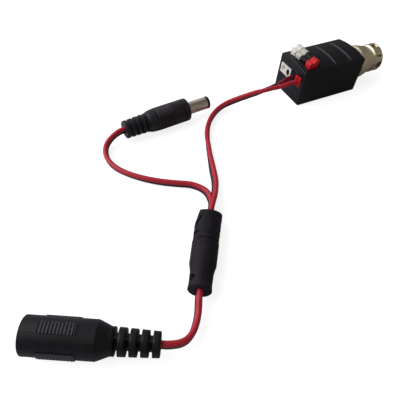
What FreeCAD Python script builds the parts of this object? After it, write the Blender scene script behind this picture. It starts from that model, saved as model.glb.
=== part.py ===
import FreeCAD, Part
import math
import os
import Sketcher

# A camera-end video balun with a push terminal, a bayonet plug and a power pigtail.
# Millimetres. X runs along the case towards the bayonet plug, Z is up, and the origin is
# on the resting surface under the middle of the balun's own box, without its cords.

os.makedirs("parts", exist_ok=True)
doc = FreeCAD.newDocument("VideoBalun")
sheet = doc.addObject("Spreadsheet::Sheet", "Sizes")
Vector = FreeCAD.Vector


# A measure knows its number and the sheet expression that it comes from.
class Measure:
    def __init__(self, value, text):
        self.value = value
        self.text = text

    def joined(self, sign, other, result):
        return Measure(result, "(" + self.text + " " + sign + " " + as_text(other) + ")")

    def __add__(self, other):
        return self.joined("+", other, self.value + as_number(other))

    def __sub__(self, other):
        return self.joined("-", other, self.value - as_number(other))

    def __mul__(self, other):
        return self.joined("*", other, self.value * as_number(other))

    def __truediv__(self, other):
        return self.joined("/", other, self.value / as_number(other))

    def __neg__(self):
        return Measure(-self.value, "(0 - " + self.text + ")")

    def __radd__(self, other):
        return Measure(other, str(other)) + self

    def __rsub__(self, other):
        return Measure(other, str(other)) - self


def as_number(amount):
    return amount.value if isinstance(amount, Measure) else amount


def as_text(amount):
    return amount.text if isinstance(amount, Measure) else str(amount)


cell_count = 0


def size(alias, value):
    global cell_count
    cell_count += 1
    sheet.set("A" + str(cell_count), alias)
    sheet.set("B" + str(cell_count), str(value))
    sheet.setAlias("B" + str(cell_count), alias)
    return Measure(value, "Sizes." + alias)


# Case
case_length = size("case_length", 34.0)
case_width = size("case_width", 19.6)
side_height = size("side_height", 17.0)
crown_rise = size("crown_rise", 1.2)
wall = size("wall", 1.4)
seam_height = size("seam_height", 8.85)
corner_radius = size("corner_radius", 0.7)
edge_radius = size("edge_radius", 0.5)
groove_depth = size("groove_depth", 0.8)
groove_mouth = size("groove_mouth", 1.3)
groove_floor = size("groove_floor", 0.4)
front_groove_place = size("front_groove_place", 1.75)
front_groove_mouth = size("front_groove_mouth", 0.8)
first_groove_place = size("first_groove_place", 17.7)
groove_pitch = size("groove_pitch", 8.7)
window_gap = size("window_gap", 0.1)

# Board
board_front = size("board_front", 2.0)
board_rear_margin = size("board_rear_margin", 3.4)
board_rear = case_length - board_rear_margin
board_gap = size("board_gap", 0.2)
board_base = size("board_base", 6.2)
board_thickness = size("board_thickness", 1.2)
rail_width = size("rail_width", 1.2)
pin_hole_radius = size("pin_hole_radius", 0.7)

# Push terminal
row_margin = size("row_margin", 2.18)
pole_pitch = (case_width - row_margin * 2) / 4
housing_gap = size("housing_gap", 0.04)
face_proud = size("face_proud", 0.4)
nose_base = size("nose_base", 8.95)
nose_top = size("nose_top", 13.6)
nose_depth = size("nose_depth", 1.6)
housing_rear = size("housing_rear", 10.8)
housing_top = size("housing_top", 15.0)
cavity_width = size("cavity_width", 2.7)
cavity_front = size("cavity_front", 2.3)
cavity_rear = size("cavity_rear", 10.3)
floor_thickness = size("floor_thickness", 1.0)
wire_height = size("wire_height", 11.2)
wire_hole_radius = size("wire_hole_radius", 1.15)
funnel_margin = size("funnel_margin", 0.91)
funnel_width = pole_pitch - funnel_margin
funnel_height = size("funnel_height", 3.9)
funnel_depth = size("funnel_depth", 0.8)
funnel_slope = size("funnel_slope", 25.0)
pivot_place = size("pivot_place", 3.9)
pivot_height = size("pivot_height", 13.4)
pivot_radius = size("pivot_radius", 0.75)
pivot_gap = size("pivot_gap", 0.05)
pivot_margin = size("pivot_margin", 0.31)
pivot_length = pole_pitch - pivot_margin
lever_margin = size("lever_margin", 0.41)
lever_width = pole_pitch - lever_margin
lever_front = size("lever_front", 2.9)
lever_length = size("lever_length", 5.1)
lever_front_top = size("lever_front_top", 20.0)
lever_rear_top = size("lever_rear_top", 21.3)
lever_valley_drop = size("lever_valley_drop", 0.5)
lever_lift = size("lever_lift", 0.4)
lever_round = size("lever_round", 0.55)
lever_window_gap = size("lever_window_gap", 0.3)
lever_swing_gap = size("lever_swing_gap", 0.9)
stem_width = size("stem_width", 2.3)
fork_slot = size("fork_slot", 1.5)
bar_width = size("bar_width", 1.1)
bar_thickness = size("bar_thickness", 0.5)
bar_front = size("bar_front", 4.4)
bar_rear = size("bar_rear", 9.75)
pin_thickness = size("pin_thickness", 0.6)
pin_reach = size("pin_reach", 1.2)
spring_width = size("spring_width", 2.2)
spring_thickness = size("spring_thickness", 0.3)
spring_front = size("spring_front", 5.4)
spring_rear = size("spring_rear", 8.8)

# Bayonet plug
plug_reach = size("plug_reach", 16.9)
bush_radius = size("bush_radius", 4.3)
bush_gap = size("bush_gap", 0.1)
bush_tail = size("bush_tail", 1.1)
shoulder_radius = size("shoulder_radius", 5.3)
shoulder_groove = size("shoulder_groove", 0.45)
shoulder_length = size("shoulder_length", 2.3)
insulator_radius = size("insulator_radius", 3.4)
insulator_gap = size("insulator_gap", 0.02)
outer_contact_radius = size("outer_contact_radius", 4.05)
outer_contact_end = size("outer_contact_end", 15.8)
contact_slot_width = size("contact_slot_width", 0.5)
contact_slot_length = size("contact_slot_length", 5.0)
thrust_flange_radius = size("thrust_flange_radius", 4.65)
thrust_flange_place = size("thrust_flange_place", 8.0)
thrust_flange_width = size("thrust_flange_width", 0.8)
ring_place = size("ring_place", 5.5)
ring_width = size("ring_width", 0.7)
ring_groove_depth = size("ring_groove_depth", 0.25)
ring_radius = size("ring_radius", 5.1)
collar_radius = size("collar_radius", 6.7)
collar_drum_radius = size("collar_drum_radius", 7.8)
collar_rear = size("collar_rear", 2.65)
collar_lip = size("collar_lip", 1.1)
collar_chamber_radius = size("collar_chamber_radius", 5.4)
collar_chamber_end = size("collar_chamber_end", 7.6)
collar_bore_radius = size("collar_bore_radius", 4.95)
collar_bore_gap = size("collar_bore_gap", 0.08)
collar_step = size("collar_step", 11.2)
collar_step_width = size("collar_step_width", 0.9)
collar_step_depth = size("collar_step_depth", 0.8)
collar_edge = size("collar_edge", 0.5)
flute_count = size("flute_count", 8)
flute_width = size("flute_width", 2.7)
flute_depth = size("flute_depth", 0.45)
flute_start = size("flute_start", 12.5)
flute_end = size("flute_end", 16.0)
lug_slot_radius = size("lug_slot_radius", 5.8)
lug_slot_width = size("lug_slot_width", 2.3)
lug_slot_length = size("lug_slot_length", 3.0)
lug_turn = size("lug_turn", 70.0)
lug_ramp = size("lug_ramp", 0.6)
lock_hole_radius = size("lock_hole_radius", 1.25)
thrust_washer_thickness = size("thrust_washer_thickness", 0.4)
washer_gap = size("washer_gap", 0.05)
wave_thickness = size("wave_thickness", 0.2)
wave_height = size("wave_height", 0.55)
gasket_radius = size("gasket_radius", 4.6)
gasket_length = size("gasket_length", 1.0)
centre_pin_radius = size("centre_pin_radius", 0.68)
centre_pin_end = size("centre_pin_end", 15.3)
pin_collar_radius = size("pin_collar_radius", 1.1)
pin_tail = size("pin_tail", 4.6)

# Parts on the board
core_radius = size("core_radius", 3.8)
core_bore = size("core_bore", 1.9)
core_height = size("core_height", 3.0)
core_place = size("core_place", 17.0)
winding_wire = size("winding_wire", 0.5)
winding_turns = size("winding_turns", 12)
winding_gap = size("winding_gap", 0.06)
capacitor_radius = size("capacitor_radius", 2.0)
capacitor_height = size("capacitor_height", 5.0)
suppressor_radius = size("suppressor_radius", 1.3)
suppressor_length = size("suppressor_length", 4.4)
small_part_place = size("small_part_place", 24.5)
small_part_side = size("small_part_side", 4.0)

# Leads: a twin lead is drawn as one round of the same section as its two cores
core_wire_radius = size("core_wire_radius", 0.95)
lead_radius = size("lead_radius", 1.35)
strand_radius = size("strand_radius", 0.45)
strand_end = size("strand_end", 8.4)
wire_entry = size("wire_entry", 1.0)

# Splitter moulding
splitter_x = size("splitter_x", -93.9)
splitter_y = size("splitter_y", -52.2)
splitter_turn = size("splitter_turn", -122.8)
splitter_length = size("splitter_length", 31.8)
splitter_radius = size("splitter_radius", 4.68)
splitter_mouth_radius = size("splitter_mouth_radius", 3.1)
splitter_mouth_depth = size("splitter_mouth_depth", 3.6)
splitter_mouth_lean = size("splitter_mouth_lean", 0.27)
splitter_mouth_middle = size("splitter_mouth_middle", 1.7)
splitter_tail_radius = size("splitter_tail_radius", 3.74)
splitter_flange_radius = size("splitter_flange_radius", 3.9)
splitter_flange_width = size("splitter_flange_width", 2.2)
splitter_band_depth = size("splitter_band_depth", 0.1)
splitter_hole_radius = size("splitter_hole_radius", 1.05)
splitter_hole_place = size("splitter_hole_place", 28.4)

# Power plug
power_plug_x = size("power_plug_x", -77.7)
power_plug_y = size("power_plug_y", 2.55)
power_plug_turn = size("power_plug_turn", 4.8)
grip_radius = size("grip_radius", 5.02)
grip_length = size("grip_length", 16.6)
plug_moulding_length = size("plug_moulding_length", 30.0)
plug_neck_radius = size("plug_neck_radius", 4.15)
plug_tail_radius = size("plug_tail_radius", 3.82)
relief_pitch = size("relief_pitch", 2.4)
relief_groove_width = size("relief_groove_width", 0.8)
relief_core_radius = size("relief_core_radius", 2.85)
fine_groove_pitch = size("fine_groove_pitch", 1.08)
fine_groove_depth = size("fine_groove_depth", 0.28)
fine_groove_count = size("fine_groove_count", 8)
barrel_radius = size("barrel_radius", 2.75)
barrel_wall = size("barrel_wall", 0.4)
barrel_length = size("barrel_length", 10.4)
barrel_root = size("barrel_root", 6.0)
tip_ring_width = size("tip_ring_width", 0.6)
tube_radius = size("tube_radius", 1.6)
tube_bore = size("tube_bore", 1.05)

# Power jack
jack_x = size("jack_x", -162.35)
jack_y = size("jack_y", -71.4)
jack_turn = size("jack_turn", -28.2)
jack_roll = size("jack_roll", -5.0)
jack_radius = size("jack_radius", 5.66)
jack_shoulder = size("jack_shoulder", 21.2)
jack_cone_end = size("jack_cone_end", 24.6)
jack_relief_start = size("jack_relief_start", 25.7)
jack_length = size("jack_length", 38.5)
jack_neck_radius = size("jack_neck_radius", 4.05)
jack_tail_radius = size("jack_tail_radius", 3.6)
jack_relief_core = size("jack_relief_core", 2.0)
jack_relief_web = size("jack_relief_web", 1.7)
jack_slot_width = size("jack_slot_width", 1.12)
jack_slot_pitch = size("jack_slot_pitch", 3.2)
jack_slot_count = size("jack_slot_count", 4)
pad_radius = size("pad_radius", 6.03)
pad_angle = size("pad_angle", 34.0)
pad_start = size("pad_start", 4.9)
pad_end = size("pad_end", 15.7)
pad_rib_pitch = size("pad_rib_pitch", 0.97)
pad_rib_gap = size("pad_rib_gap", 0.43)
pad_rib_count = size("pad_rib_count", 11)
insert_radius = size("insert_radius", 4.6)
insert_gap = size("insert_gap", 0.02)
insert_depth = size("insert_depth", 12.0)
socket_radius = size("socket_radius", 2.95)
socket_depth = size("socket_depth", 9.8)
socket_pin_radius = size("socket_pin_radius", 1.0)
socket_pin_start = size("socket_pin_start", 1.4)
leaf_width = size("leaf_width", 1.6)
leaf_thickness = size("leaf_thickness", 0.3)

doc.recompute()

# Places that several pieces share
case_front_x = -(case_length + plug_reach - face_proud) / 2
case_rear_x = case_front_x + case_length
board_top = board_base + board_thickness
crown_height = side_height + crown_rise
cavity_floor = board_top + floor_thickness
full_circle = 360

bodies = []


# One piece of the object, set at its own place in the frame.
def new_body(label, x=0, y=0, z=0):
    body = doc.addObject("PartDesign::Body", label)
    body.Label = label
    place(body, x, y, z)
    bodies.append(body)
    return body


def place(item, x, y, z):
    item.Placement.Base = Vector(as_number(x), as_number(y), as_number(z))
    for axis, amount in (("x", x), ("y", y), ("z", z)):
        bind(item, "Placement.Base." + axis, amount)


def bind(item, name, amount):
    if isinstance(amount, Measure):
        item.setExpression(name, amount.text)


def origin_plane(body, role):
    for feature in body.Origin.OriginFeatures:
        if feature.Role == role:
            return feature
    raise ValueError(role)


def new_sketch(body, role, offset=0):
    sketch = body.newObject("Sketcher::SketchObject", "Sketch")
    sketch.AttachmentSupport = [(origin_plane(body, role), "")]
    sketch.MapMode = "FlatFace"
    sketch.AttachmentOffset = FreeCAD.Placement(Vector(0, 0, as_number(offset)), FreeCAD.Rotation())
    bind(sketch, "AttachmentOffset.Base.z", offset)
    return sketch


def fix_point(sketch, geometry, point, across, up):
    for kind, amount in (("DistanceX", across), ("DistanceY", up)):
        rule = Sketcher.Constraint(kind, -1, 1, geometry, point, as_number(amount))
        index = sketch.addConstraint(rule)
        bind(sketch, "Constraints[" + str(index) + "]", amount)


def fix_radius(sketch, geometry, radius):
    index = sketch.addConstraint(Sketcher.Constraint("Radius", geometry, as_number(radius)))
    bind(sketch, "Constraints[" + str(index) + "]", radius)


# A closed outline of straight edges, each corner tied to the sheet.
def polygon(sketch, corners):
    first = sketch.GeometryCount
    count = len(corners)
    points = [Vector(as_number(across), as_number(up), 0) for across, up in corners]
    for index in range(count):
        sketch.addGeometry(Part.LineSegment(points[index], points[(index + 1) % count]))
    for index in range(count):
        following = (index + 1) % count
        sketch.addConstraint(Sketcher.Constraint("Coincident", first + index, 2, first + following, 1))
    for index, corner in enumerate(corners):
        fix_point(sketch, first + index, 1, corner[0], corner[1])
    return sketch


def rectangle(sketch, low_x, high_x, low_y, high_y):
    return polygon(sketch, [(low_x, low_y), (high_x, low_y), (high_x, high_y), (low_x, high_y)])


def circle(sketch, across, up, radius):
    index = sketch.addGeometry(Part.Circle(Vector(as_number(across), as_number(up), 0), Vector(0, 0, 1), 1.0))
    fix_radius(sketch, index, radius)
    fix_point(sketch, index, 3, across, up)
    return sketch


def feature(body, kind, sketch, **settings):
    item = body.newObject("PartDesign::" + kind, kind)
    item.Profile = sketch
    for name, amount in settings.items():
        setattr(item, name, as_number(amount))
        bind(item, name, amount)
    return settled(body, item)


def settled(body, item):
    doc.recompute()
    if not item.isValid():
        raise ValueError(item.Name + " in " + body.Label + " failed: " + item.getStatusString())
    return item


def pad(body, sketch, length, middle=False, **settings):
    return feature(body, "Pad", sketch, Length=length, Midplane=middle, **settings)


# A pocket that cuts nothing is a mistake in its direction, so the volume is compared.
def pocket(body, sketch, length, middle=False, forward=False, **settings):
    before = body.Shape.Volume
    item = feature(body, "Pocket", sketch, Length=length, Midplane=middle, Reversed=forward, **settings)
    if body.Shape.Volume > before - 1e-4:
        raise ValueError("a pocket in " + body.Label + " cuts nothing")
    return item


# Turned pieces: the outline is given as (place along X, radius) and turned about X.
def turn(body, outline, angle=full_circle, middle=False):
    sketch = polygon(new_sketch(body, "XZ_Plane"), outline)
    return feature(body, "Revolution", sketch, ReferenceAxis=(sketch, ["H_Axis"]), Angle=angle, Midplane=middle)


def turn_away(body, outline):
    before = body.Shape.Volume
    sketch = polygon(new_sketch(body, "XZ_Plane"), outline)
    item = feature(body, "Groove", sketch, ReferenceAxis=(sketch, ["H_Axis"]), Angle=full_circle)
    if body.Shape.Volume > before - 1e-4:
        raise ValueError("a groove in " + body.Label + " cuts nothing")
    return item


def line_pattern(body, original, step, count):
    pattern = body.newObject("PartDesign::LinearPattern", "LinearPattern")
    pattern.Originals = [original]
    pattern.Direction = (origin_plane(body, "X_Axis"), [""])
    pattern.Mode = "Spacing"
    pattern.Offset = as_number(step)
    bind(pattern, "Offset", step)
    pattern.Occurrences = int(as_number(count))
    bind(pattern, "Occurrences", count)
    body.Tip = pattern
    return settled(body, pattern)


def round_pattern(body, original, count):
    pattern = body.newObject("PartDesign::PolarPattern", "PolarPattern")
    pattern.Originals = [original]
    pattern.Axis = (origin_plane(body, "X_Axis"), [""])
    pattern.Angle = full_circle
    pattern.Occurrences = int(as_number(count))
    bind(pattern, "Occurrences", count)
    body.Tip = pattern
    return settled(body, pattern)


def round_edges(body, radius, wanted):
    base = body.Tip
    names = []
    for index, edge in enumerate(base.Shape.Edges):
        if wanted(edge):
            names.append("Edge" + str(index + 1))
    item = body.newObject("PartDesign::Fillet", "Fillet")
    item.Base = (base, names)
    item.Radius = as_number(radius)
    bind(item, "Radius", radius)
    body.Tip = item
    return settled(body, item)


def runs_along(edge, axis):
    if edge.Curve.TypeId != "Part::GeomLine":
        return False
    return abs(edge.tangentAt(edge.FirstParameter).dot(axis)) > 0.999


along_x = Vector(1, 0, 0)
along_y = Vector(0, 1, 0)
along_z = Vector(0, 0, 1)


# The case's section: straight sides and a top arched across the width.
def crowned_section(sketch, half_width, base, side, rise):
    half = as_number(half_width)
    left = Vector(-half, as_number(side), 0)
    right = Vector(half, as_number(side), 0)
    low_left = Vector(-half, as_number(base), 0)
    low_right = Vector(half, as_number(base), 0)
    crest = Vector(0, as_number(side) + as_number(rise), 0)
    sketch.addGeometry(Part.LineSegment(left, low_left))
    sketch.addGeometry(Part.LineSegment(low_left, low_right))
    sketch.addGeometry(Part.LineSegment(low_right, right))
    arch = sketch.addGeometry(Part.Arc(right, crest, left))
    sketch.addConstraint(Sketcher.Constraint("Coincident", 0, 2, 1, 1))
    sketch.addConstraint(Sketcher.Constraint("Coincident", 1, 2, 2, 1))
    sketch.addConstraint(Sketcher.Constraint("Coincident", 2, 2, arch, 1))
    sketch.addConstraint(Sketcher.Constraint("Coincident", arch, 2, 0, 1))
    fix_point(sketch, 0, 1, -half_width, side)
    fix_point(sketch, 1, 1, -half_width, base)
    fix_point(sketch, 2, 1, half_width, base)
    fix_point(sketch, 2, 2, half_width, side)
    fix_radius(sketch, arch, (half_width * half_width + rise * rise) / (rise * 2))
    return sketch


# Lower half of the case: a tray with two rails for the board and half of the plug's hole.
case_base = new_body("case_base", case_front_x)
pad(case_base, rectangle(new_sketch(case_base, "XY_Plane"), 0, case_length, -case_width / 2, case_width / 2),
    seam_height)
round_edges(case_base, corner_radius, lambda edge: runs_along(edge, along_z))
round_edges(case_base, edge_radius, lambda edge: edge.BoundBox.ZMax < 0.001)
inner_half = case_width / 2 - wall
pocket(case_base, rectangle(new_sketch(case_base, "XY_Plane", seam_height), wall, case_length - wall,
                            -inner_half, inner_half), seam_height - wall)
rails = new_sketch(case_base, "XY_Plane", wall)
rectangle(rails, wall, board_rear, inner_half - rail_width, inner_half)
rectangle(rails, wall, board_rear, -inner_half, rail_width - inner_half)
pad(case_base, rails, board_base - wall)
plug_hole_radius = bush_radius + bush_gap
pocket(case_base, circle(new_sketch(case_base, "YZ_Plane", case_length), 0, seam_height, plug_hole_radius), wall)

# Upper half: the arched cover with the terminal's window, the levers' opening and three cross grooves.
case_top = new_body("case_top", case_front_x)
pad(case_top, crowned_section(new_sketch(case_top, "YZ_Plane"), case_width / 2, seam_height, side_height,
                              crown_rise), case_length)
round_edges(case_top, corner_radius, lambda edge: runs_along(edge, along_z))
round_edges(case_top, edge_radius,
            lambda edge: edge.BoundBox.ZMin > side_height.value - 0.01)
pocket(case_top, crowned_section(new_sketch(case_top, "YZ_Plane", wall), inner_half, seam_height - wall,
                                 side_height - wall, crown_rise), case_length - wall * 2, forward=True)
window_half = pole_pitch * 2 + window_gap
pocket(case_top, rectangle(new_sketch(case_top, "YZ_Plane"), -window_half, window_half, seam_height - wall,
                           nose_top + window_gap), wall, forward=True)
lever_rear = lever_front + lever_length
pocket(case_top, rectangle(new_sketch(case_top, "XY_Plane", crown_height + wall), lever_front - lever_window_gap,
                           lever_rear + lever_swing_gap, -window_half, window_half), wall * 3)
pocket(case_top, circle(new_sketch(case_top, "YZ_Plane", case_length), 0, seam_height, plug_hole_radius), wall)


def cross_groove(middle_place, mouth, depth):
    floor_height = crown_height - depth
    outline = [(middle_place - groove_floor / 2, floor_height), (middle_place + groove_floor / 2, floor_height),
               (middle_place + mouth / 2, crown_height), (middle_place + mouth / 2, crown_height + wall),
               (middle_place - mouth / 2, crown_height + wall), (middle_place - mouth / 2, crown_height)]
    pocket(case_top, polygon(new_sketch(case_top, "XZ_Plane"), outline), case_width, middle=True)


cross_groove(front_groove_place, front_groove_mouth, groove_depth)
cross_groove(first_groove_place, groove_mouth, groove_depth)
cross_groove(first_groove_place + groove_pitch, groove_mouth, groove_depth)

# Circuit board, resting on the rails, with a hole for each terminal's pin.
circuit_board = new_body("circuit_board", case_front_x)
board_half = inner_half - board_gap
pad(circuit_board, rectangle(new_sketch(circuit_board, "XY_Plane", board_base), board_front, board_rear,
                             -board_half, board_half), board_thickness)
pin_place = bar_rear - pin_thickness / 2
pole_names = ["white_near_edge", "white_inner", "black", "red"]
pole_places = [pole_pitch * 1.5, pole_pitch * 0.5, pole_pitch * -0.5, pole_pitch * -1.5]
for pole_place in pole_places:
    pocket(circuit_board, circle(new_sketch(circuit_board, "XY_Plane", board_top), pin_place, pole_place,
                                 pin_hole_radius), board_thickness)


# One pole's moulded housing: a nose in the front window, and a body with a slot for the lever.
def terminal_housing(name, side):
    housing = new_body(name + "_housing", case_front_x, side)
    outline = [(-face_proud, nose_base), (nose_depth, nose_base), (nose_depth, board_top),
               (housing_rear, board_top), (housing_rear, housing_top), (nose_depth, housing_top),
               (nose_depth, nose_top), (-face_proud, nose_top)]
    pad(housing, polygon(new_sketch(housing, "XZ_Plane"), outline), pole_pitch - housing_gap, middle=True)
    pocket(housing, rectangle(new_sketch(housing, "XZ_Plane"), cavity_front, cavity_rear, cavity_floor,
                              housing_top + wall), cavity_width, middle=True)
    pocket(housing, rectangle(new_sketch(housing, "YZ_Plane", -face_proud), -funnel_width / 2, funnel_width / 2,
                              wire_height - funnel_height / 2, wire_height + funnel_height / 2),
           funnel_depth, forward=True, TaperAngle=funnel_slope)
    pocket(housing, circle(new_sketch(housing, "YZ_Plane", -face_proud), 0, wire_height, wire_hole_radius),
           face_proud + cavity_front, forward=True)
    pocket(housing, circle(new_sketch(housing, "XZ_Plane"), pivot_place, pivot_height, pivot_radius + pivot_gap),
           pole_pitch, middle=True)
    slot_half = bar_width / 2 + pivot_gap
    pocket(housing, rectangle(new_sketch(housing, "XY_Plane", cavity_floor), bar_rear - pin_thickness - pivot_gap,
                              bar_rear + pivot_gap, -slot_half, slot_half), floor_thickness)


# Push lever: a paddle with two humps above the case, a forked stem below and a cross pin to turn on.
def push_lever(name, side):
    lever = new_body(name + "_lever", case_front_x, side)
    foot = housing_top + lever_lift
    outline = [(lever_front, foot), (lever_front, lever_front_top - 0.6),
               (lever_front + 0.5, lever_front_top), (lever_front + 1.5, lever_front_top + 0.3),
               (lever_front + 2.1, lever_front_top + 0.3 - lever_valley_drop),
               (lever_front + 2.9, lever_rear_top - 0.35), (lever_front + 3.8, lever_rear_top),
               (lever_rear - 0.5, lever_rear_top - 0.2), (lever_rear, lever_rear_top - 1.1),
               (lever_rear, foot + 0.8)]
    pad(lever, polygon(new_sketch(lever, "XZ_Plane"), outline), lever_width, middle=True)
    round_edges(lever, lever_round,
                lambda edge: runs_along(edge, along_z) and edge.BoundBox.XMin > lever_front.value)
    stem = [(lever_front, foot + 0.2), (lever_front, pivot_height - 0.4), (pivot_place + 0.4, pivot_height - 1.2),
            (lever_front + 3.6, wire_height - 0.55), (lever_front + 4.1, wire_height - 0.7),
            (lever_front + 4.7, wire_height - 0.7), (lever_front + 5.0, wire_height - 0.2),
            (lever_front + 4.5, pivot_height), (lever_front + 4.5, foot + 0.85)]
    pad(lever, polygon(new_sketch(lever, "XZ_Plane"), stem), stem_width, middle=True)
    slot_top = wire_height + strand_radius + bar_thickness + 0.75
    pocket(lever, rectangle(new_sketch(lever, "XZ_Plane"), lever_front - 1, lever_rear + 1, board_top, slot_top),
           fork_slot, middle=True)
    pad(lever, circle(new_sketch(lever, "XZ_Plane"), pivot_place, pivot_height, pivot_radius), pivot_length,
        middle=True)


# Contact: a brass bar over the wire, bent down at the back into a solder pin through the board.
def contact_bar(name, side):
    contact = new_body(name + "_contact", case_front_x, side)
    bar_base = wire_height + strand_radius
    outline = [(bar_front, bar_base), (bar_rear - pin_thickness, bar_base),
               (bar_rear - pin_thickness, board_base - pin_reach), (bar_rear, board_base - pin_reach),
               (bar_rear, bar_base + bar_thickness), (bar_front, bar_base + bar_thickness)]
    pad(contact, polygon(new_sketch(contact, "XZ_Plane"), outline), bar_width, middle=True)


# Clamp spring: a folded steel leaf on the cavity's floor that presses the wire up to the bar.
def clamp_spring(name, side):
    spring = new_body(name + "_spring", case_front_x, side)
    tip_height = wire_height - strand_radius
    outline = [(spring_rear, cavity_floor), (spring_rear, cavity_floor + spring_thickness),
               (spring_front + 0.7, cavity_floor + spring_thickness),
               (spring_front + 0.5, cavity_floor + spring_thickness + 0.2),
               (spring_front + 0.6, cavity_floor + spring_thickness + 0.45),
               (spring_rear - 0.3, tip_height - spring_thickness), (spring_rear - 0.45, tip_height),
               (spring_front + 0.3, cavity_floor + spring_thickness + 0.7),
               (spring_front, cavity_floor + spring_thickness + 0.3), (spring_front, cavity_floor)]
    pad(spring, polygon(new_sketch(spring, "XZ_Plane"), outline), spring_width, middle=True)


for pole_name, pole_place in zip(pole_names, pole_places):
    terminal_housing(pole_name, pole_place)
    push_lever(pole_name, pole_place)
    contact_bar(pole_name, pole_place)
    clamp_spring(pole_name, pole_place)

# Impedance transformer: a ferrite ring with its winding, standing on the board.
ring_base = board_top + winding_wire
transformer_core = new_body("transformer_core", case_front_x + core_place, 0, ring_base)
ring_sketch = new_sketch(transformer_core, "XY_Plane")
circle(ring_sketch, 0, 0, core_radius)
circle(ring_sketch, 0, 0, core_bore)
pad(transformer_core, ring_sketch, core_height)

winding = doc.addObject("Part::Feature", "transformer_winding")
winding.Label = "transformer_winding"
turn_inner = core_bore.value - winding_gap.value
turn_outer = core_radius.value + winding_gap.value
turn_box = Part.makeBox(turn_outer - turn_inner + winding_wire.value * 2, winding_wire.value,
                        core_height.value + winding_wire.value * 2)
turn_box.translate(Vector(turn_inner - winding_wire.value, -winding_wire.value / 2, -winding_wire.value))
turn_hole = Part.makeBox(turn_outer - turn_inner, winding_wire.value, core_height.value)
turn_hole.translate(Vector(turn_inner, -winding_wire.value / 2, 0))
one_turn = turn_box.cut(turn_hole)
turns = []
for index in range(int(winding_turns.value)):
    copy_of_turn = one_turn.copy()
    copy_of_turn.rotate(Vector(0, 0, 0), along_z, index * full_circle / winding_turns.value)
    turns.append(copy_of_turn)
winding.Shape = Part.makeCompound(turns)
place(winding, case_front_x + core_place, 0, ring_base)
bodies.append(winding)

filter_capacitor = new_body("filter_capacitor", case_front_x + small_part_place, -small_part_side, board_top)
pad(filter_capacitor, circle(new_sketch(filter_capacitor, "XY_Plane"), 0, 0, capacitor_radius), capacitor_height)
round_edges(filter_capacitor, winding_wire,
            lambda edge: edge.BoundBox.ZMin > capacitor_height.value - 0.01)

surge_suppressor = new_body("surge_suppressor", case_front_x + small_part_place, small_part_side,
                            board_top + suppressor_radius)
turn(surge_suppressor, [(-suppressor_length / 2, 0), (suppressor_length / 2, 0),
                        (suppressor_length / 2, suppressor_radius - 0.2),
                        (suppressor_length / 2 - 0.2, suppressor_radius),
                        (0.2 - suppressor_length / 2, suppressor_radius),
                        (-suppressor_length / 2, suppressor_radius - 0.2)])


# The bayonet plug's pieces are turned about the X axis through the seam, from the case's rear face.
def plug_piece(label):
    return new_body(label, case_rear_x, 0, seam_height)


# Shell: rear flange inside the wall, bush through it, grooved shoulder, spindle and slotted contact.
bayonet_shell = plug_piece("bayonet_shell")
flange_inner = -wall - window_gap
thrust_flange_end = thrust_flange_place + thrust_flange_width
turn(bayonet_shell, [
    (flange_inner - bush_tail, insulator_radius), (flange_inner - bush_tail, shoulder_radius - 0.3),
    (flange_inner, shoulder_radius - 0.3), (flange_inner, bush_radius), (0, bush_radius),
    (0, shoulder_radius - 0.25), (0.25, shoulder_radius), (0.8, shoulder_radius),
    (1.0, shoulder_radius - shoulder_groove), (1.5, shoulder_radius - shoulder_groove),
    (1.7, shoulder_radius), (shoulder_length - 0.2, shoulder_radius), (shoulder_length, shoulder_radius - 0.2),
    (shoulder_length, bush_radius), (ring_place, bush_radius), (ring_place, bush_radius - ring_groove_depth),
    (ring_place + ring_width, bush_radius - ring_groove_depth), (ring_place + ring_width, bush_radius),
    (thrust_flange_place, bush_radius), (thrust_flange_place, thrust_flange_radius),
    (thrust_flange_end, thrust_flange_radius), (thrust_flange_end, outer_contact_radius),
    (outer_contact_end - 0.3, outer_contact_radius), (outer_contact_end, outer_contact_radius - 0.2),
    (outer_contact_end, insulator_radius)])
contact_slots = pocket(
    bayonet_shell,
    rectangle(new_sketch(bayonet_shell, "XY_Plane"), outer_contact_end - contact_slot_length,
              outer_contact_end + 1, -contact_slot_width / 2, contact_slot_width / 2),
    outer_contact_radius * 3, middle=True)
slot_pattern = bayonet_shell.newObject("PartDesign::PolarPattern", "PolarPattern")
slot_pattern.Originals = [contact_slots]
slot_pattern.Axis = (origin_plane(bayonet_shell, "X_Axis"), [""])
slot_pattern.Angle = full_circle / 2
slot_pattern.Occurrences = 2
bayonet_shell.Tip = slot_pattern
doc.recompute()

# Insulator and centre pin.
plug_insulator = plug_piece("bayonet_insulator")
insulator_outer = insulator_radius - insulator_gap
pin_bore = pin_collar_radius + insulator_gap
turn(plug_insulator, [(flange_inner - bush_tail, pin_bore), (flange_inner - bush_tail, insulator_outer),
                      (thrust_flange_end, insulator_outer), (thrust_flange_end, centre_pin_radius + insulator_gap),
                      (shoulder_length, centre_pin_radius + insulator_gap), (shoulder_length, pin_bore)])
centre_pin = plug_piece("bayonet_centre_pin")
turn(centre_pin, [(flange_inner - bush_tail - pin_tail, 0), (flange_inner - bush_tail - pin_tail, centre_pin_radius),
                  (flange_inner - bush_tail, centre_pin_radius), (flange_inner - bush_tail, pin_collar_radius),
                  (shoulder_length - insulator_gap, pin_collar_radius),
                  (shoulder_length - insulator_gap, centre_pin_radius),
                  (centre_pin_end - 0.9, centre_pin_radius), (centre_pin_end - 0.25, centre_pin_radius - 0.28),
                  (centre_pin_end, centre_pin_radius - 0.5), (centre_pin_end, 0)])

# Rubber ring that the mating jack's rim presses on.
plug_gasket = plug_piece("bayonet_gasket")
turn(plug_gasket, [(thrust_flange_end, outer_contact_radius + insulator_gap), (thrust_flange_end, gasket_radius),
                   (thrust_flange_end + gasket_length, gasket_radius),
                   (thrust_flange_end + gasket_length, outer_contact_radius + insulator_gap)])

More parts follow.
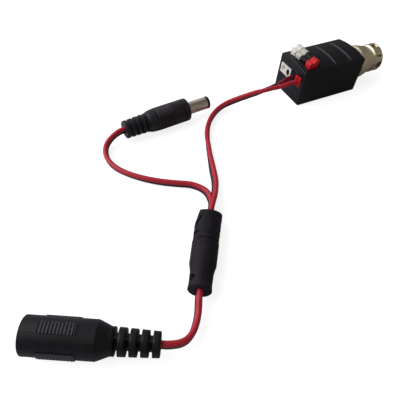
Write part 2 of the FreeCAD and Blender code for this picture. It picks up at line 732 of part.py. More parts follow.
# Retaining ring in the spindle's groove.
retaining_ring = plug_piece("retaining_ring")
turn(retaining_ring, [(ring_place + insulator_gap, bush_radius - ring_groove_depth + insulator_gap),
                      (ring_place + insulator_gap, ring_radius),
                      (ring_place + ring_width - insulator_gap, ring_radius),
                      (ring_place + ring_width - insulator_gap,
                       bush_radius - ring_groove_depth + insulator_gap)])

# Thrust washer between the collar's lip and the wave washer.
washer_bore = bush_radius + collar_bore_gap
thrust_place = collar_rear + collar_lip + washer_gap
thrust_washer = plug_piece("thrust_washer")
turn(thrust_washer, [(thrust_place, washer_bore), (thrust_place, ring_radius),
                     (thrust_place + thrust_washer_thickness, ring_radius),
                     (thrust_place + thrust_washer_thickness, washer_bore)])

# Wave washer: a thin steel ring bent up and down three times round, which pulls the collar back.
# It is drawn at its pressed height, against the retaining ring, so the thrust washer stays clear of it.
wave_washer = doc.addObject("Part::Feature", "wave_washer")
wave_washer.Label = "wave_washer"
wave_start = ring_place - washer_gap - wave_height
wave_swing = (wave_height - wave_thickness) / 2
wave_steps = 24
wave_count = 3


def wave_point(step, radius, thickness):
    angle = 2 * math.pi * step / wave_steps
    height = wave_start.value + wave_swing.value * (1 + math.cos(wave_count * angle)) + thickness
    return Vector(height, radius * math.cos(angle), radius * math.sin(angle))


wave_faces = []
for step in range(wave_steps):
    wave_inner = washer_bore.value + 0.02
    wave_outer = ring_radius.value
    corners = []
    for station in (step, step + 1):
        corners.append([wave_point(station, wave_inner, 0), wave_point(station, wave_outer, 0),
                        wave_point(station, wave_outer, wave_thickness.value),
                        wave_point(station, wave_inner, wave_thickness.value)])
    for side in range(4):
        first, second = corners[0][side], corners[0][(side + 1) % 4]
        third, fourth = corners[1][(side + 1) % 4], corners[1][side]
        wave_faces.append(Part.Face(Part.makePolygon([first, second, third, first])))
        wave_faces.append(Part.Face(Part.makePolygon([first, third, fourth, first])))
wave_shell = Part.makeShell(wave_faces)
wave_solid = Part.makeSolid(wave_shell)
if wave_solid.Volume < 0:
    wave_solid.reverse()
wave_washer.Shape = wave_solid
place(wave_washer, case_rear_x, 0, seam_height)
bodies.append(wave_washer)

# Coupling collar: smooth drum behind, fluted grip in front, and the two bayonet tracks inside,
# each an entry slot, a spiral ramp and a lock hole right through the wall.
collar = plug_piece("bayonet_collar")
collar_groove_radius = collar_radius - collar_step_depth
collar_front_start = collar_step + collar_step_width
turn(collar, [
    (collar_rear, bush_radius + collar_bore_gap), (collar_rear, collar_drum_radius - 1.3),
    (collar_rear + 0.35, collar_drum_radius - 0.4), (collar_rear + 1.1, collar_drum_radius),
    (collar_rear + 2.6, collar_drum_radius), (collar_step, collar_radius - 0.5),
    (collar_step + 0.3, collar_groove_radius), (collar_step + 0.5, collar_groove_radius),
    (collar_front_start, collar_radius - 0.1), (collar_front_start + 0.2, collar_radius),
    (plug_reach - collar_edge, collar_radius), (plug_reach, collar_radius - collar_edge),
    (plug_reach, collar_bore_radius + 0.3), (plug_reach - 0.3, collar_bore_radius),
    (collar_chamber_end, collar_bore_radius), (collar_chamber_end, collar_chamber_radius),
    (collar_rear + collar_lip, collar_chamber_radius), (collar_rear + collar_lip, bush_radius + collar_bore_gap)])

flute_sketch = new_sketch(collar, "XY_Plane", collar_radius - flute_depth)
flute_half = flute_width / 2
flute_round = 0.9
polygon(flute_sketch, [(flute_start, -flute_half + flute_round), (flute_start + flute_round, -flute_half),
                       (flute_end, -flute_half), (flute_end, flute_half),
                       (flute_start + flute_round, flute_half), (flute_start, flute_half - flute_round)])
round_pattern(collar, pocket(collar, flute_sketch, collar_radius, forward=True), flute_count)

lock_place = plug_reach - lug_slot_length
lock_sketch = new_sketch(collar, "XY_Plane")
circle(lock_sketch, lock_place, 0, lock_hole_radius)
pocket(collar, lock_sketch, collar_radius * 3, middle=True)

# Each track is swept along a helix from the lock hole up to its entry slot, which opens at the rim.
slot_half_width = lug_slot_width.value / 2
track_inner = collar_bore_radius.value - 0.6
track_outer = lug_slot_radius.value
track_pitch = lug_ramp.value * full_circle / lug_turn.value
track_route = Part.makeHelix(track_pitch, lug_ramp.value, collar_bore_radius.value)
track_section = Part.makePolygon([
    Vector(track_inner, 0, -slot_half_width), Vector(track_outer, 0, -slot_half_width),
    Vector(track_outer, 0, slot_half_width), Vector(track_inner, 0, slot_half_width),
    Vector(track_inner, 0, -slot_half_width)])
track_sweep = Part.Wire(track_route).makePipeShell([track_section], True, True)
track_sweep.rotate(Vector(0, 0, 0), along_y, 90)
track_sweep.rotate(Vector(0, 0, 0), along_x, 180)
track_sweep.translate(Vector(lock_place.value, 0, 0))
track_ring = Part.makeCylinder(track_outer, plug_reach.value * 2, Vector(0, 0, 0), along_x).cut(
    Part.makeCylinder(track_inner, plug_reach.value * 2, Vector(0, 0, 0), along_x))
track_end = Part.makeCylinder(slot_half_width, track_outer * 2, Vector(lock_place.value, 0, 0))
entry_place = lock_place.value + lug_ramp.value
entry = Part.makeBox(plug_reach.value, slot_half_width * 2, track_outer * 2,
                     Vector(entry_place, -slot_half_width, 0)).fuse(
    Part.makeCylinder(slot_half_width, track_outer * 2, Vector(entry_place, 0, 0)))
entry.rotate(Vector(0, 0, 0), along_x, lug_turn.value)
one_track = track_sweep.fuse(track_end.fuse(entry).common(track_ring))
other_track = one_track.copy()
other_track.rotate(Vector(0, 0, 0), along_x, full_circle / 2)
track = doc.addObject("Part::Feature", "lug_track")
track.Label = "lug_track"
track.Shape = Part.makeCompound([one_track, other_track])
place(track, case_rear_x, 0, seam_height)
collar_cut = doc.addObject("Part::Cut", "coupling_collar")
collar_cut.Label = "coupling_collar"
collar_cut.Base = collar
collar_cut.Tool = track
bodies.remove(collar)
bodies.append(collar_cut)
doc.recompute()


# Turned and moulded pieces of the cord set lie on the surface, each turned to its own heading.
def lying_piece(label, x, y, height, heading, roll=0):
    body = new_body(label, x, y, height)
    turned = FreeCAD.Rotation(as_number(heading), 0, as_number(roll))
    body.Placement.Rotation = turned
    bind(body, "Placement.Rotation.Yaw", heading)
    bind(body, "Placement.Rotation.Roll", roll)
    return body


# Splitter: one moulding over the joints of the three leads. Its mouth leans back and is hollow, a flat, a narrow
# slot and a shallow recess are cut in one shoulder, and a hole stands before the flared tail.
splitter = lying_piece("splitter_moulding", splitter_x, splitter_y, splitter_radius, splitter_turn)
band_radius = splitter_radius - splitter_band_depth
flare_start = splitter_length - splitter_flange_width
turn(splitter, [
    (splitter_mouth_depth, 0), (splitter_mouth_depth, splitter_mouth_radius), (0, splitter_mouth_radius),
    (0, splitter_radius), (4.5, splitter_radius), (4.6, band_radius), (8.5, band_radius),
    (8.6, band_radius - 0.06), (11.0, band_radius - 0.06), (11.1, band_radius - 0.14), (14.0, band_radius - 0.14),
    (14.05, band_radius - 0.5), (14.35, band_radius - 0.5), (14.4, band_radius), (22.6, band_radius - 0.1),
    (23.4, band_radius - 0.35), (25.0, splitter_tail_radius + 0.2), (25.6, splitter_tail_radius + 0.1),
    (flare_start, splitter_tail_radius), (splitter_length - 0.3, splitter_flange_radius),
    (splitter_length, splitter_flange_radius - 0.3), (splitter_length, 0)])
mouth_cut = [(-4, -splitter_radius * 2), (splitter_mouth_middle - splitter_mouth_lean * splitter_radius * 2,
                                          -splitter_radius * 2),
             (splitter_mouth_middle + splitter_mouth_lean * splitter_radius * 2, splitter_radius * 2),
             (-4, splitter_radius * 2)]
pocket(splitter, polygon(new_sketch(splitter, "XZ_Plane"), mouth_cut), splitter_radius * 3, middle=True)
facet = [(-1, 0.6 - splitter_mouth_radius), (8.0, -splitter_radius), (8.0, -splitter_radius * 2),
         (-1, -splitter_radius * 2)]
pocket(splitter, polygon(new_sketch(splitter, "XY_Plane"), facet), splitter_radius * 2, middle=True)
slot = [(5.24, -2.69), (5.56, -2.11), (9.32, -4.18), (9.08, -4.62)]
pocket(splitter, polygon(new_sketch(splitter, "XY_Plane", splitter_radius / 4), slot), splitter_radius,
       forward=True)
recess = [(-2.7, 3.2), (-4.06, 1.09), (-6, 1.09), (-6, 6), (-2.7, 6)]
pocket(splitter, polygon(new_sketch(splitter, "YZ_Plane", 11.3), recess), 4.4, forward=True)
pocket(splitter, circle(new_sketch(splitter, "XZ_Plane", splitter_tail_radius + 1), splitter_hole_place, 2.2,
                        splitter_hole_radius), 3.0)


# Power plug: the moulded grip with its ringed strain relief, then the barrel's three pieces.
def plug_part(label):
    return lying_piece(label, power_plug_x, power_plug_y, grip_radius, power_plug_turn)


plug_moulding = plug_part("plug_moulding")
barrel_hole = barrel_radius + insulator_gap
last_ring = -plug_moulding_length
turn(plug_moulding, [
    (0, barrel_hole), (0, grip_radius - 0.4), (-0.12, grip_radius - 0.15), (-0.4, grip_radius),
    (-grip_length + 2.2, grip_radius), (-grip_length, grip_radius - 0.15), (-grip_length - 2.1, grip_radius - 0.45),
    (-grip_length - 2.8, plug_neck_radius), (last_ring + 0.3, plug_tail_radius), (last_ring, plug_tail_radius - 0.3),
    (last_ring, 0), (-barrel_root, 0), (-barrel_root, barrel_hole)])
groove_start = last_ring + relief_pitch - relief_groove_width
relief = turn_away(plug_moulding, [
    (groove_start, relief_core_radius), (groove_start + relief_groove_width, relief_core_radius),
    (groove_start + relief_groove_width + 0.3, plug_neck_radius + 1), (groove_start - 0.3, plug_neck_radius + 1)])
line_pattern(plug_moulding, relief, relief_pitch, 4)
fine_start = -grip_length + 0.4
fine = turn_away(plug_moulding, [
    (fine_start, grip_radius - fine_groove_depth), (fine_start + 0.35, grip_radius - fine_groove_depth),
    (fine_start + 0.5, grip_radius + 1), (fine_start - 0.15, grip_radius + 1)])
line_pattern(plug_moulding, fine, fine_groove_pitch, fine_groove_count)
turn_away(plug_moulding, [
    (-2.9, grip_radius - fine_groove_depth), (-2.6, grip_radius - fine_groove_depth), (-2.5, grip_radius + 1),
    (-3.0, grip_radius + 1)])

barrel_bore = barrel_radius - barrel_wall
plug_barrel = plug_part("plug_barrel")
turn(plug_barrel, [(-barrel_root, barrel_bore), (-barrel_root, barrel_radius), (barrel_length, barrel_radius),
                   (barrel_length, barrel_bore)])
tip_insulator = plug_part("plug_tip_insulator")
turn(tip_insulator, [(-barrel_root, tube_radius + insulator_gap), (-barrel_root, barrel_bore - insulator_gap),
                     (barrel_length + insulator_gap, barrel_bore - insulator_gap),
                     (barrel_length + insulator_gap, barrel_radius - 0.1),
                     (barrel_length + tip_ring_width - 0.15, barrel_radius - 0.1),
                     (barrel_length + tip_ring_width, barrel_radius - 0.25),
                     (barrel_length + tip_ring_width, tube_radius + insulator_gap)])
centre_tube = plug_part("plug_centre_contact")
turn(centre_tube, [(-barrel_root, 0), (-barrel_root, tube_radius), (barrel_length + 0.2, tube_radius),
                   (barrel_length + 0.2, tube_bore), (0, tube_bore), (0, 0)])


# Power jack: a round moulding with four ribbed pads and a cut strain relief, and the socket inside.
def jack_part(label):
    return lying_piece(label, jack_x, jack_y, pad_radius, jack_turn, jack_roll)


jack_moulding = jack_part("jack_moulding")
turn(jack_moulding, [
    (0, insert_radius), (0, jack_radius - 0.2), (0.2, jack_radius),
    (jack_shoulder - 0.5, jack_radius), (jack_shoulder + 0.3, jack_radius - 0.3),
    (jack_cone_end, jack_neck_radius), (jack_relief_start, jack_neck_radius),
    (jack_length - 0.2, jack_tail_radius), (jack_length, jack_tail_radius - 0.2), (jack_length, 0),
    (insert_depth, 0), (insert_depth, insert_radius)])
relief_slot = turn_away(jack_moulding, [
    (jack_relief_start, jack_relief_core), (jack_relief_start + jack_slot_width - 0.1, jack_relief_core),
    (jack_relief_start + jack_slot_width, jack_radius), (jack_relief_start, jack_radius)])
line_pattern(jack_moulding, relief_slot, jack_slot_pitch, jack_slot_count)
web_end = jack_length - jack_slot_width
web_sketch = new_sketch(jack_moulding, "XZ_Plane")
polygon(web_sketch, [(jack_cone_end, -jack_neck_radius + 0.12), (web_end, -jack_tail_radius + 0.12),
                     (web_end, jack_tail_radius - 0.12), (jack_cone_end, jack_neck_radius - 0.12)])
pad(jack_moulding, web_sketch, jack_relief_web, middle=True)
pads = turn(jack_moulding, [(pad_start, jack_radius - 0.3), (pad_start + 0.2, pad_radius),
                            (pad_end - 0.2, pad_radius), (pad_end, jack_radius - 0.3)],
            angle=pad_angle, middle=True)
round_pattern(jack_moulding, pads, 4)
rib_start = pad_start + 0.3
rib = turn_away(jack_moulding, [(rib_start, jack_radius + 0.1), (rib_start + pad_rib_gap, jack_radius + 0.1),
                                (rib_start + pad_rib_gap, pad_radius + 1), (rib_start, pad_radius + 1)])
line_pattern(jack_moulding, rib, pad_rib_pitch, pad_rib_count)

jack_insert = jack_part("jack_insert")
insert_outer = insert_radius - insert_gap
turn(jack_insert, [(0.4, socket_radius + 0.25), (0.4, insert_outer), (insert_depth, insert_outer),
                   (insert_depth, socket_pin_radius + insert_gap), (socket_depth, socket_pin_radius + insert_gap),
                   (socket_depth, socket_radius), (0.7, socket_radius)])
leaf_seat = socket_radius + leaf_thickness + insert_gap
pocket(jack_insert, rectangle(new_sketch(jack_insert, "XZ_Plane"), 2.0 - insert_gap, socket_depth, 0, leaf_seat),
       leaf_width + insert_gap * 2, middle=True)
jack_leaf = jack_part("jack_leaf_contact")
pad(jack_leaf, rectangle(new_sketch(jack_leaf, "XZ_Plane"), 2.0, socket_depth - insert_gap,
                         leaf_seat - insert_gap - leaf_thickness, leaf_seat - insert_gap), leaf_width, middle=True)
jack_pin = jack_part("jack_pin")
turn(jack_pin, [(socket_pin_start, 0), (socket_pin_start, socket_pin_radius - 0.5),
                (socket_pin_start + 0.5, socket_pin_radius), (insert_depth - insert_gap, socket_pin_radius),
                (insert_depth - insert_gap, 0)])


# A cord is straight runs joined by tangent arcs, swept by its round section.
def cord(label, points, radius):
    corners = [Vector(*[as_number(amount) for amount in point]) for point in points]
    edges = []
    start = corners[0]
    bends = []
    for before, corner, after in zip(corners, corners[1:], corners[2:]):
        towards = (before - corner).normalize()
        onwards = (after - corner).normalize()
        turn_angle = math.pi - towards.getAngle(onwards)
        shorter = min((corner - before).Length, (after - corner).Length)
        cut_back = 0.45 * shorter
        bend_radius = cut_back / math.tan(turn_angle / 2)
        bends.append(round(bend_radius, 1))
        arc_start = corner + towards * cut_back
        arc_end = corner + onwards * cut_back
        inward = (towards + onwards).normalize()
        centre = corner + inward * (bend_radius / math.cos(turn_angle / 2))
        arc_middle = centre - inward * bend_radius
        edges.append(Part.LineSegment(start, arc_start).toShape())
        edges.append(Part.Arc(arc_start, arc_middle, arc_end).toShape())
        start = arc_end
    edges.append(Part.LineSegment(start, corners[-1]).toShape())
    route = Part.Wire(edges)
    heading = (corners[1] - corners[0]).normalize()
    section = Part.Wire([Part.makeCircle(as_number(radius), corners[0], heading)])
    tube = route.makePipeShell([section], True, False)
    expected = math.pi * as_number(radius) ** 2 * route.Length
    print(label, "length", round(route.Length, 1), "radii", bends, "volume share",
          round(tube.Volume / expected, 4))
    item = doc.addObject("Part::Feature", label)
    item.Label = label
    item.Shape = tube
    bodies.append(item)


def along_heading(x, y, heading, distance, sideways=0.0):
    angle = math.radians(as_number(heading))
    return (as_number(x) + distance * math.cos(angle) - sideways * math.sin(angle),
            as_number(y) + distance * math.sin(angle) + sideways * math.cos(angle))


# Where each lead meets a moulding, square to its face, and the point where it starts to bend
straight_end = 2.4
lead_side = 0.9
upper_height = splitter_radius.value + lead_radius.value
lower_height = splitter_radius.value - lead_radius.value - 0.06
floor_height = lead_radius.value


def lead_end(x, y, heading, distance, sideways, height, outwards):
    ends = []
    for reach in (0, outwards * straight_end):
        ends.append(along_heading(x, y, heading, distance + reach, sideways) + (as_number(height),))
    return ends


mouth_floor = splitter_mouth_depth.value
upper_end, upper_bend = lead_end(splitter_x, splitter_y, splitter_turn, mouth_floor, lead_side,
                                 upper_height, -2)
lower_end, lower_bend = lead_end(splitter_x, splitter_y, splitter_turn, mouth_floor, lead_side / 2,
                                 lower_height, -2)
outlet_end, outlet_bend = lead_end(splitter_x, splitter_y, splitter_turn, splitter_length.value, 0,
                                   splitter_radius, 1)
plug_end, plug_bend = lead_end(power_plug_x, power_plug_y, power_plug_turn, -plug_moulding_length.value, 0,
                               grip_radius, -1)
jack_end, jack_bend = lead_end(jack_x, jack_y, jack_turn, jack_length.value, 0, pad_radius, 1)

# The two cores leave their terminals and come side by side where the twin lead begins
front_x = case_front_x.value
pair_start = Vector(front_x - 9.35, -4.6, wire_height.value - 0.6)
pair_next = Vector(front_x - 15.35, -4.1, wire_height.value - 1.5)
pair_heading = (pair_next - pair_start).normalize()
pair_side = along_z.cross(pair_heading).normalize() * (core_wire_radius.value + 0.01)
entry_x = front_x + wire_entry.value
for label, side, offset in (("red_wire_end", pole_places[3], pair_side),
                            ("black_wire_end", pole_places[2], pair_side * -1)):
    core_end = pair_start + offset
    cord(label, [(entry_x, side, wire_height), (front_x - 2.95, side, wire_height),
                 core_end - pair_heading * 2.6, core_end], core_wire_radius)

# From there down to the surface and round to the splitter's mouth
cord("balun_lead", [pair_start, pair_next, (-46.9, -1.7, 7.2), (-53.3, 0.9, 4.2),
                    (-60.3, 1.7, 1.8), (-67.5, -2.4, floor_height), (-73.8, -10.2, floor_height),
                    (-78.0, -20.6, floor_height), (-81.7, -31.0, floor_height), (-84.5, -39.0, 1.9),
                    (-88.4, -45.6, 4.2), upper_bend, upper_end], lead_radius)

# From the power plug round to the splitter's mouth, under the other
cord("plug_lead", [plug_end, plug_bend, (-113.6, -0.2, 3.6), (-117.3, -3.4, 1.9), (-118.9, -8.6, floor_height),
                   (-118.0, -14.4, floor_height), (-115.0, -19.6, floor_height), (-110.4, -24.6, floor_height),
                   (-104.8, -29.2, floor_height), (-98.6, -33.0, floor_height), (-92.8, -36.0, floor_height),
                   (-89.4, -40.9, floor_height), (-90.0, -46.4, 1.8), lower_bend, lower_end], lead_radius)

# From the splitter's far end to the power jack
cord("jack_lead", [outlet_end, outlet_bend, (-113.6, -83.9, 3.4), (-116.0, -87.3, 3.1), (-119.2, -90.2, 3.7),
                   (-122.6, -91.2, 5.2), jack_bend, jack_end], lead_radius)

# Bare strands of the two cores, held under the contact bars
for label, side in (("red_strands", pole_places[3]), ("black_strands", pole_places[2])):
    strands = doc.addObject("Part::Cylinder", label)
    strands.Label = label
    strands.Radius = strand_radius.value
    bind(strands, "Radius", strand_radius)
    strands.Height = strand_end.value - wire_entry.value
    bind(strands, "Height", strand_end - wire_entry)
    place(strands, case_front_x + wire_entry, side, wire_height)
    strands.Placement.Rotation = FreeCAD.Rotation(along_y, 90)
    bodies.append(strands)

doc.recompute()

for item in doc.Objects:
    if "Invalid" in item.State or "Error" in item.State:
        raise ValueError(item.Label + " failed: " + str(item.State))
for item in bodies:
    shape = item.Shape
    if shape.isNull() or not shape.isValid() or not shape.Solids:
        raise ValueError(item.Label + " has no sound shape")
for item in bodies:
    item.Shape.exportStep("parts/" + item.Label + ".step")
print(len(bodies), "parts")
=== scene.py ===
import math
import bmesh
import bpy
from mathutils import Matrix, Vector


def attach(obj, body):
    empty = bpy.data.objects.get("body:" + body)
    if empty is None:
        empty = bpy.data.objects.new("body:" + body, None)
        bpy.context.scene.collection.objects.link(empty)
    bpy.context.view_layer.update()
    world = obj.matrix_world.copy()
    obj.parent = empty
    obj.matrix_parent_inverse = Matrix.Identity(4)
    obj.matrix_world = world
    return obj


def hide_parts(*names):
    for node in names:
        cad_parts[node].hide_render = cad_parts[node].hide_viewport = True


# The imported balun: metres, X along the case towards the bayonet plug, Z up, standing on z = 0.
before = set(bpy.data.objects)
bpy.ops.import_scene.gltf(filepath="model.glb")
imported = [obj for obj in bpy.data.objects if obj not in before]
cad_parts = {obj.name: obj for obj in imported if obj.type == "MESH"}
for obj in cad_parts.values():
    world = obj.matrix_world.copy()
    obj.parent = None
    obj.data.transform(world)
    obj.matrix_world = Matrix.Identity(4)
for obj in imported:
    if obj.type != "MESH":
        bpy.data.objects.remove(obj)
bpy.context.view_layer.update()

# Camera, at the photograph's angle: above and in front of the balun, beyond the power jack.
camera_data = bpy.data.cameras.new("camera")
camera_data.sensor_width = 36
camera_data.lens = 36.76
camera_data.shift_x = 0.0374
camera_data.shift_y = -0.0153
camera_data.clip_start = 0.01
camera_data.clip_end = 20
camera = bpy.data.objects.new("camera", camera_data)
camera_right = Vector((0.90719, -0.41955, 0.03134))
camera_up = Vector((0.30408, 0.70534, 0.64034))
camera_back = Vector((-0.29076, -0.57138, 0.76746))
camera.matrix_world = Matrix.Translation((-0.14263, -0.12782, 0.12051)) @ Matrix((
    camera_right, camera_up, camera_back)).transposed().to_4x4()
bpy.context.scene.collection.objects.link(camera)
bpy.context.scene.camera = camera


# The power jack's moulding: its two side pads are moulded with shallow ribs, and only the top and bottom
# pads have deep ones, so the side pads of the source's moulding are filled out to just below their ribs.
def filled_copy(node, name, vertices, faces):
    """A merged copy of a CAD node with a closed solid joined to it, as one closed mesh."""
    filling_mesh = bpy.data.meshes.new("filling")
    filling_mesh.from_pydata(vertices, [], faces)
    shape = bmesh.new()
    shape.from_mesh(filling_mesh)
    bmesh.ops.recalc_face_normals(shape, faces=shape.faces)
    shape.to_mesh(filling_mesh)
    shape.free()
    filling = bpy.data.objects.new("filling", filling_mesh)
    bpy.context.scene.collection.objects.link(filling)
    body_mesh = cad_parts[node].data.copy()
    shape = bmesh.new()
    shape.from_mesh(body_mesh)
    bmesh.ops.remove_doubles(shape, verts=shape.verts, dist=1e-7)
    shape.to_mesh(body_mesh)
    shape.free()
    body = bpy.data.objects.new(name, body_mesh)
    bpy.context.scene.collection.objects.link(body)
    union = body.modifiers.new("union", "BOOLEAN")
    union.operation = "UNION"
    union.solver = "EXACT"
    union.object = filling
    finished = bpy.data.meshes.new_from_object(body.evaluated_get(bpy.context.evaluated_depsgraph_get()))
    body.modifiers.remove(union)
    body.data = finished
    bpy.data.objects.remove(filling)
    return body


def smoothed(piece):
    """Rounds the shading of the joined mesh's curved faces and keeps its corners sharp."""
    piece.data.set_sharp_from_angle(angle=math.radians(25))
    weights = piece.modifiers.new("weights", "WEIGHTED_NORMAL")
    weights.keep_sharp = True


jack_place = (-0.16235, -0.0714, 0.00603)
jack_heading, jack_roll = math.radians(-28.2), math.radians(-5)
jack_frame = (Matrix.Translation(jack_place) @ Matrix.Rotation(jack_heading, 4, "Z")
              @ Matrix.Rotation(jack_roll, 4, "X"))
pad_steps = 16
pad_half_angle = math.radians(16.4)
pad_profile = ((0.00505, 0.0054), (0.00512, 0.00597), (0.01548, 0.00597), (0.01555, 0.0054))
vertices, faces = [], []
for middle in (0, math.pi):
    first = len(vertices)
    for step in range(pad_steps + 1):
        turn = middle + pad_half_angle * (2 * step / pad_steps - 1)
        for along, radius in pad_profile:
            vertices.append(jack_frame @ Vector((along, radius * math.cos(turn), radius * math.sin(turn))))
    for step in range(pad_steps):
        for corner in range(4):
            here, beside = first + step * 4 + corner, first + step * 4 + (corner + 1) % 4
            faces.append((here, beside, beside + 4, here + 4))
    faces += [tuple(range(first, first + 4)), tuple(range(first + pad_steps * 4, first + pad_steps * 4 + 4))]
jack_body = filled_copy("jack_moulding", "jack_body", vertices, faces)
smoothed(jack_body)
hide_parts("jack_moulding")
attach(jack_body, "balun")


# The plug's tip: the plastic ring has a thin skirt that closes over the end of the barrel.
plug_place = (-0.0777, 0.00255, 0.00502)
plug_heading = math.radians(4.8)
plug_frame = Matrix.Translation(plug_place) @ Matrix.Rotation(plug_heading, 4, "Z")
skirt = [(0.00980, 0.002757), (0.00980, 0.002790), (0.01086, 0.002800), (0.01098, 0.002690),
         (0.01098, 0.002500), (0.01043, 0.002500), (0.01043, 0.002757)]
skirt_steps = 64
vertices, faces = [], []
for step in range(skirt_steps):
    turn = 2 * math.pi * (step + 0.5) / skirt_steps
    vertices += [plug_frame @ Vector((along, radius * math.cos(turn), radius * math.sin(turn)))
                 for along, radius in skirt]
for step in range(skirt_steps):
    for corner in range(len(skirt)):
        here, beside = step * len(skirt), (step + 1) % skirt_steps * len(skirt)
        after = (corner + 1) % len(skirt)
        faces.append((here + corner, here + after, beside + after, beside + corner))
tip_ring = filled_copy("plug_tip_insulator", "tip_ring", vertices, faces)
smoothed(tip_ring)
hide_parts("plug_tip_insulator")
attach(tip_ring, "balun")


# The three twin leads: a red and a black core of stranded wire in soft vinyl, moulded together
# along a thin web. They stand on the black core's edge, since such a pair only bends flatwise.
def smooth_line(points):
    """The route's own NURBS spline, read as points."""
    curve = bpy.data.curves.new("route", "CURVE")
    curve.dimensions = "3D"
    spline = curve.splines.new("NURBS")
    spline.points.add(len(points) - 1)
    for knot, point in zip(spline.points, points):
        knot.co = (point[0], point[1], point[2], 1)
    spline.order_u = 3
    spline.use_endpoint_u = True
    spline.resolution_u = 12
    carrier = bpy.data.objects.new("route", curve)
    mesh = bpy.data.meshes.new_from_object(carrier)
    line = [vertex.co.copy() for vertex in mesh.vertices]
    bpy.data.objects.remove(carrier)
    bpy.data.curves.remove(curve)
    bpy.data.meshes.remove(mesh)
    return line


def keyed(keys, place):
    """A value between the keys (place, value), turning smoothly from one to the next."""
    if place <= keys[0][0]:
        return keys[0][1]
    for (start, low), (end, high) in zip(keys, keys[1:]):
        if place <= end:
            share = (place - start) / (end - start)
            return low + (high - low) * share * share * (3 - 2 * share)
    return keys[-1][1]


def swept(name, line, section, lean, shades):
    """A closed tube: section (across, down) with a shade for each point, leaning as keyed by length in mm."""
    vertices, faces, colours = [], [], []
    travelled = 0
    for index, point in enumerate(line):
        if index:
            travelled += (point - line[index - 1]).length
        ahead = (line[min(index + 1, len(line) - 1)] - line[max(index - 1, 0)]).normalized()
        right = ahead.cross(Vector((0, 0, 1))).normalized()
        below = ahead.cross(right).normalized()
        angle = math.radians(keyed(lean, travelled * 1000))
        down = below * math.cos(angle) + right * math.sin(angle)
        across = right * math.cos(angle) - below * math.sin(angle)
        for offset, shade in zip(section, shades):
            vertices.append(point + across * offset[0] + down * offset[1])
            colours.append(shade)
    count = len(section)
    for station in range(len(line) - 1):
        for side in range(count):
            following = (side + 1) % count
            faces.append((station * count + side, station * count + following,
                          (station + 1) * count + following, (station + 1) * count + side))
    faces.append(tuple(range(count)))
    faces.append(tuple((len(line) - 1) * count + side for side in reversed(range(count))))
    mesh = bpy.data.meshes.new(name)
    mesh.from_pydata(vertices, [], faces)
    mesh.validate()
    shade_layer = mesh.attributes.new("shade", "FLOAT", "POINT")
    shade_layer.data.foreach_set("value", colours)
    for face in mesh.polygons:
        face.use_smooth = len(face.vertices) == 4
    piece = bpy.data.objects.new(name, mesh)
    bpy.context.scene.collection.objects.link(piece)
    return piece


core_radius = 0.00098
core_offset = 0.00094
pair_section, pair_shades = [], []
for core, middle in ((0, core_offset), (1, -core_offset)):
    for step in range(15):
        turn = math.radians(-148 + step * 296 / 14) + (math.pi if core else 0)
        pair_section.append((core_radius * math.sin(turn), middle + core_radius * math.cos(turn)))
        pair_shades.append(float(core))

# Balun lead: out of the junction of the two terminal cores, down to the surface and over to the splitter,
# which it goes 4 mm into.
balun_line = smooth_line([
    (-0.0346, -0.0046, 0.0106), (-0.0406, -0.0041, 0.0097), (-0.0469, -0.0017, 0.0072),
    (-0.0533, 0.0009, 0.0042), (-0.06038, 0.00157, 0.0022), (-0.06786, -0.003, 0.00192),
    (-0.07413, -0.01076, 0.00192),
    (-0.07831, -0.02111, 0.00192), (-0.08199, -0.03146, 0.00192), (-0.08451, -0.03901, 0.0023),
    (-0.0884, -0.0456, 0.0043), (-0.09139, -0.04972, 0.00585), (-0.09275, -0.05152, 0.00585),
    (-0.09576, -0.05564, 0.00585)])
balun_lead = swept("twin_lead_to_balun", balun_line, pair_section,
                   [(0, 90), (5, 60), (12, 30), (25, 21), (38, 8), (50, -13), (58, -2), (72, 20), (84, 18),
                    (94, 0)],
                   pair_shades)

# Plug lead: from the power plug's tail, round the far left and back under the balun lead.
plug_line = smooth_line([
    (-0.10361, 0.00037, 0.00502), (-0.10759, 0.00004, 0.00502), (-0.10999, -0.00016, 0.00502),
    (-0.1136, -0.0009, 0.0037), (-0.1173, -0.00342, 0.0022), (-0.11901, -0.00917, 0.00192),
    (-0.11812, -0.01494, 0.00192), (-0.11513, -0.02012, 0.00192), (-0.11055, -0.02509, 0.00192),
    (-0.10498, -0.02967, 0.00192), (-0.09881, -0.03345, 0.00192), (-0.09304, -0.03644, 0.00192),
    (-0.08965, -0.04132, 0.00192), (-0.09005, -0.04648, 0.00205), (-0.09224, -0.05041, 0.0028),
    (-0.09438, -0.05332, 0.0029), (-0.09601, -0.05548, 0.0029)])
plug_lead = swept("twin_lead_to_plug", plug_line, pair_section,
                  [(0, 22), (8, 20), (22, -14), (34, -25), (50, -18), (62, -16), (70, 4), (76, 14), (80, 88),
                   (84, 90)],
                  pair_shades)

# Jack lead: the short one from the splitter's other end, a few millimetres into both mouldings.
jack_line = smooth_line([
    (-0.1095, -0.07641, 0.00468), (-0.11113, -0.07893, 0.00468), (-0.11243, -0.08095, 0.00468),
    (-0.1139, -0.0840, 0.0036), (-0.1162, -0.0873, 0.0031), (-0.1192, -0.0902, 0.0037),
    (-0.1226, -0.0915, 0.0052), (-0.1263, -0.09073, 0.00603), (-0.12842, -0.08959, 0.00603),
    (-0.13327, -0.08699, 0.00603)])
jack_lead = swept("twin_lead_to_jack", jack_line, pair_section,
                  [(0, 12), (14, 10), (24, 6), (32, 2)], pair_shades)

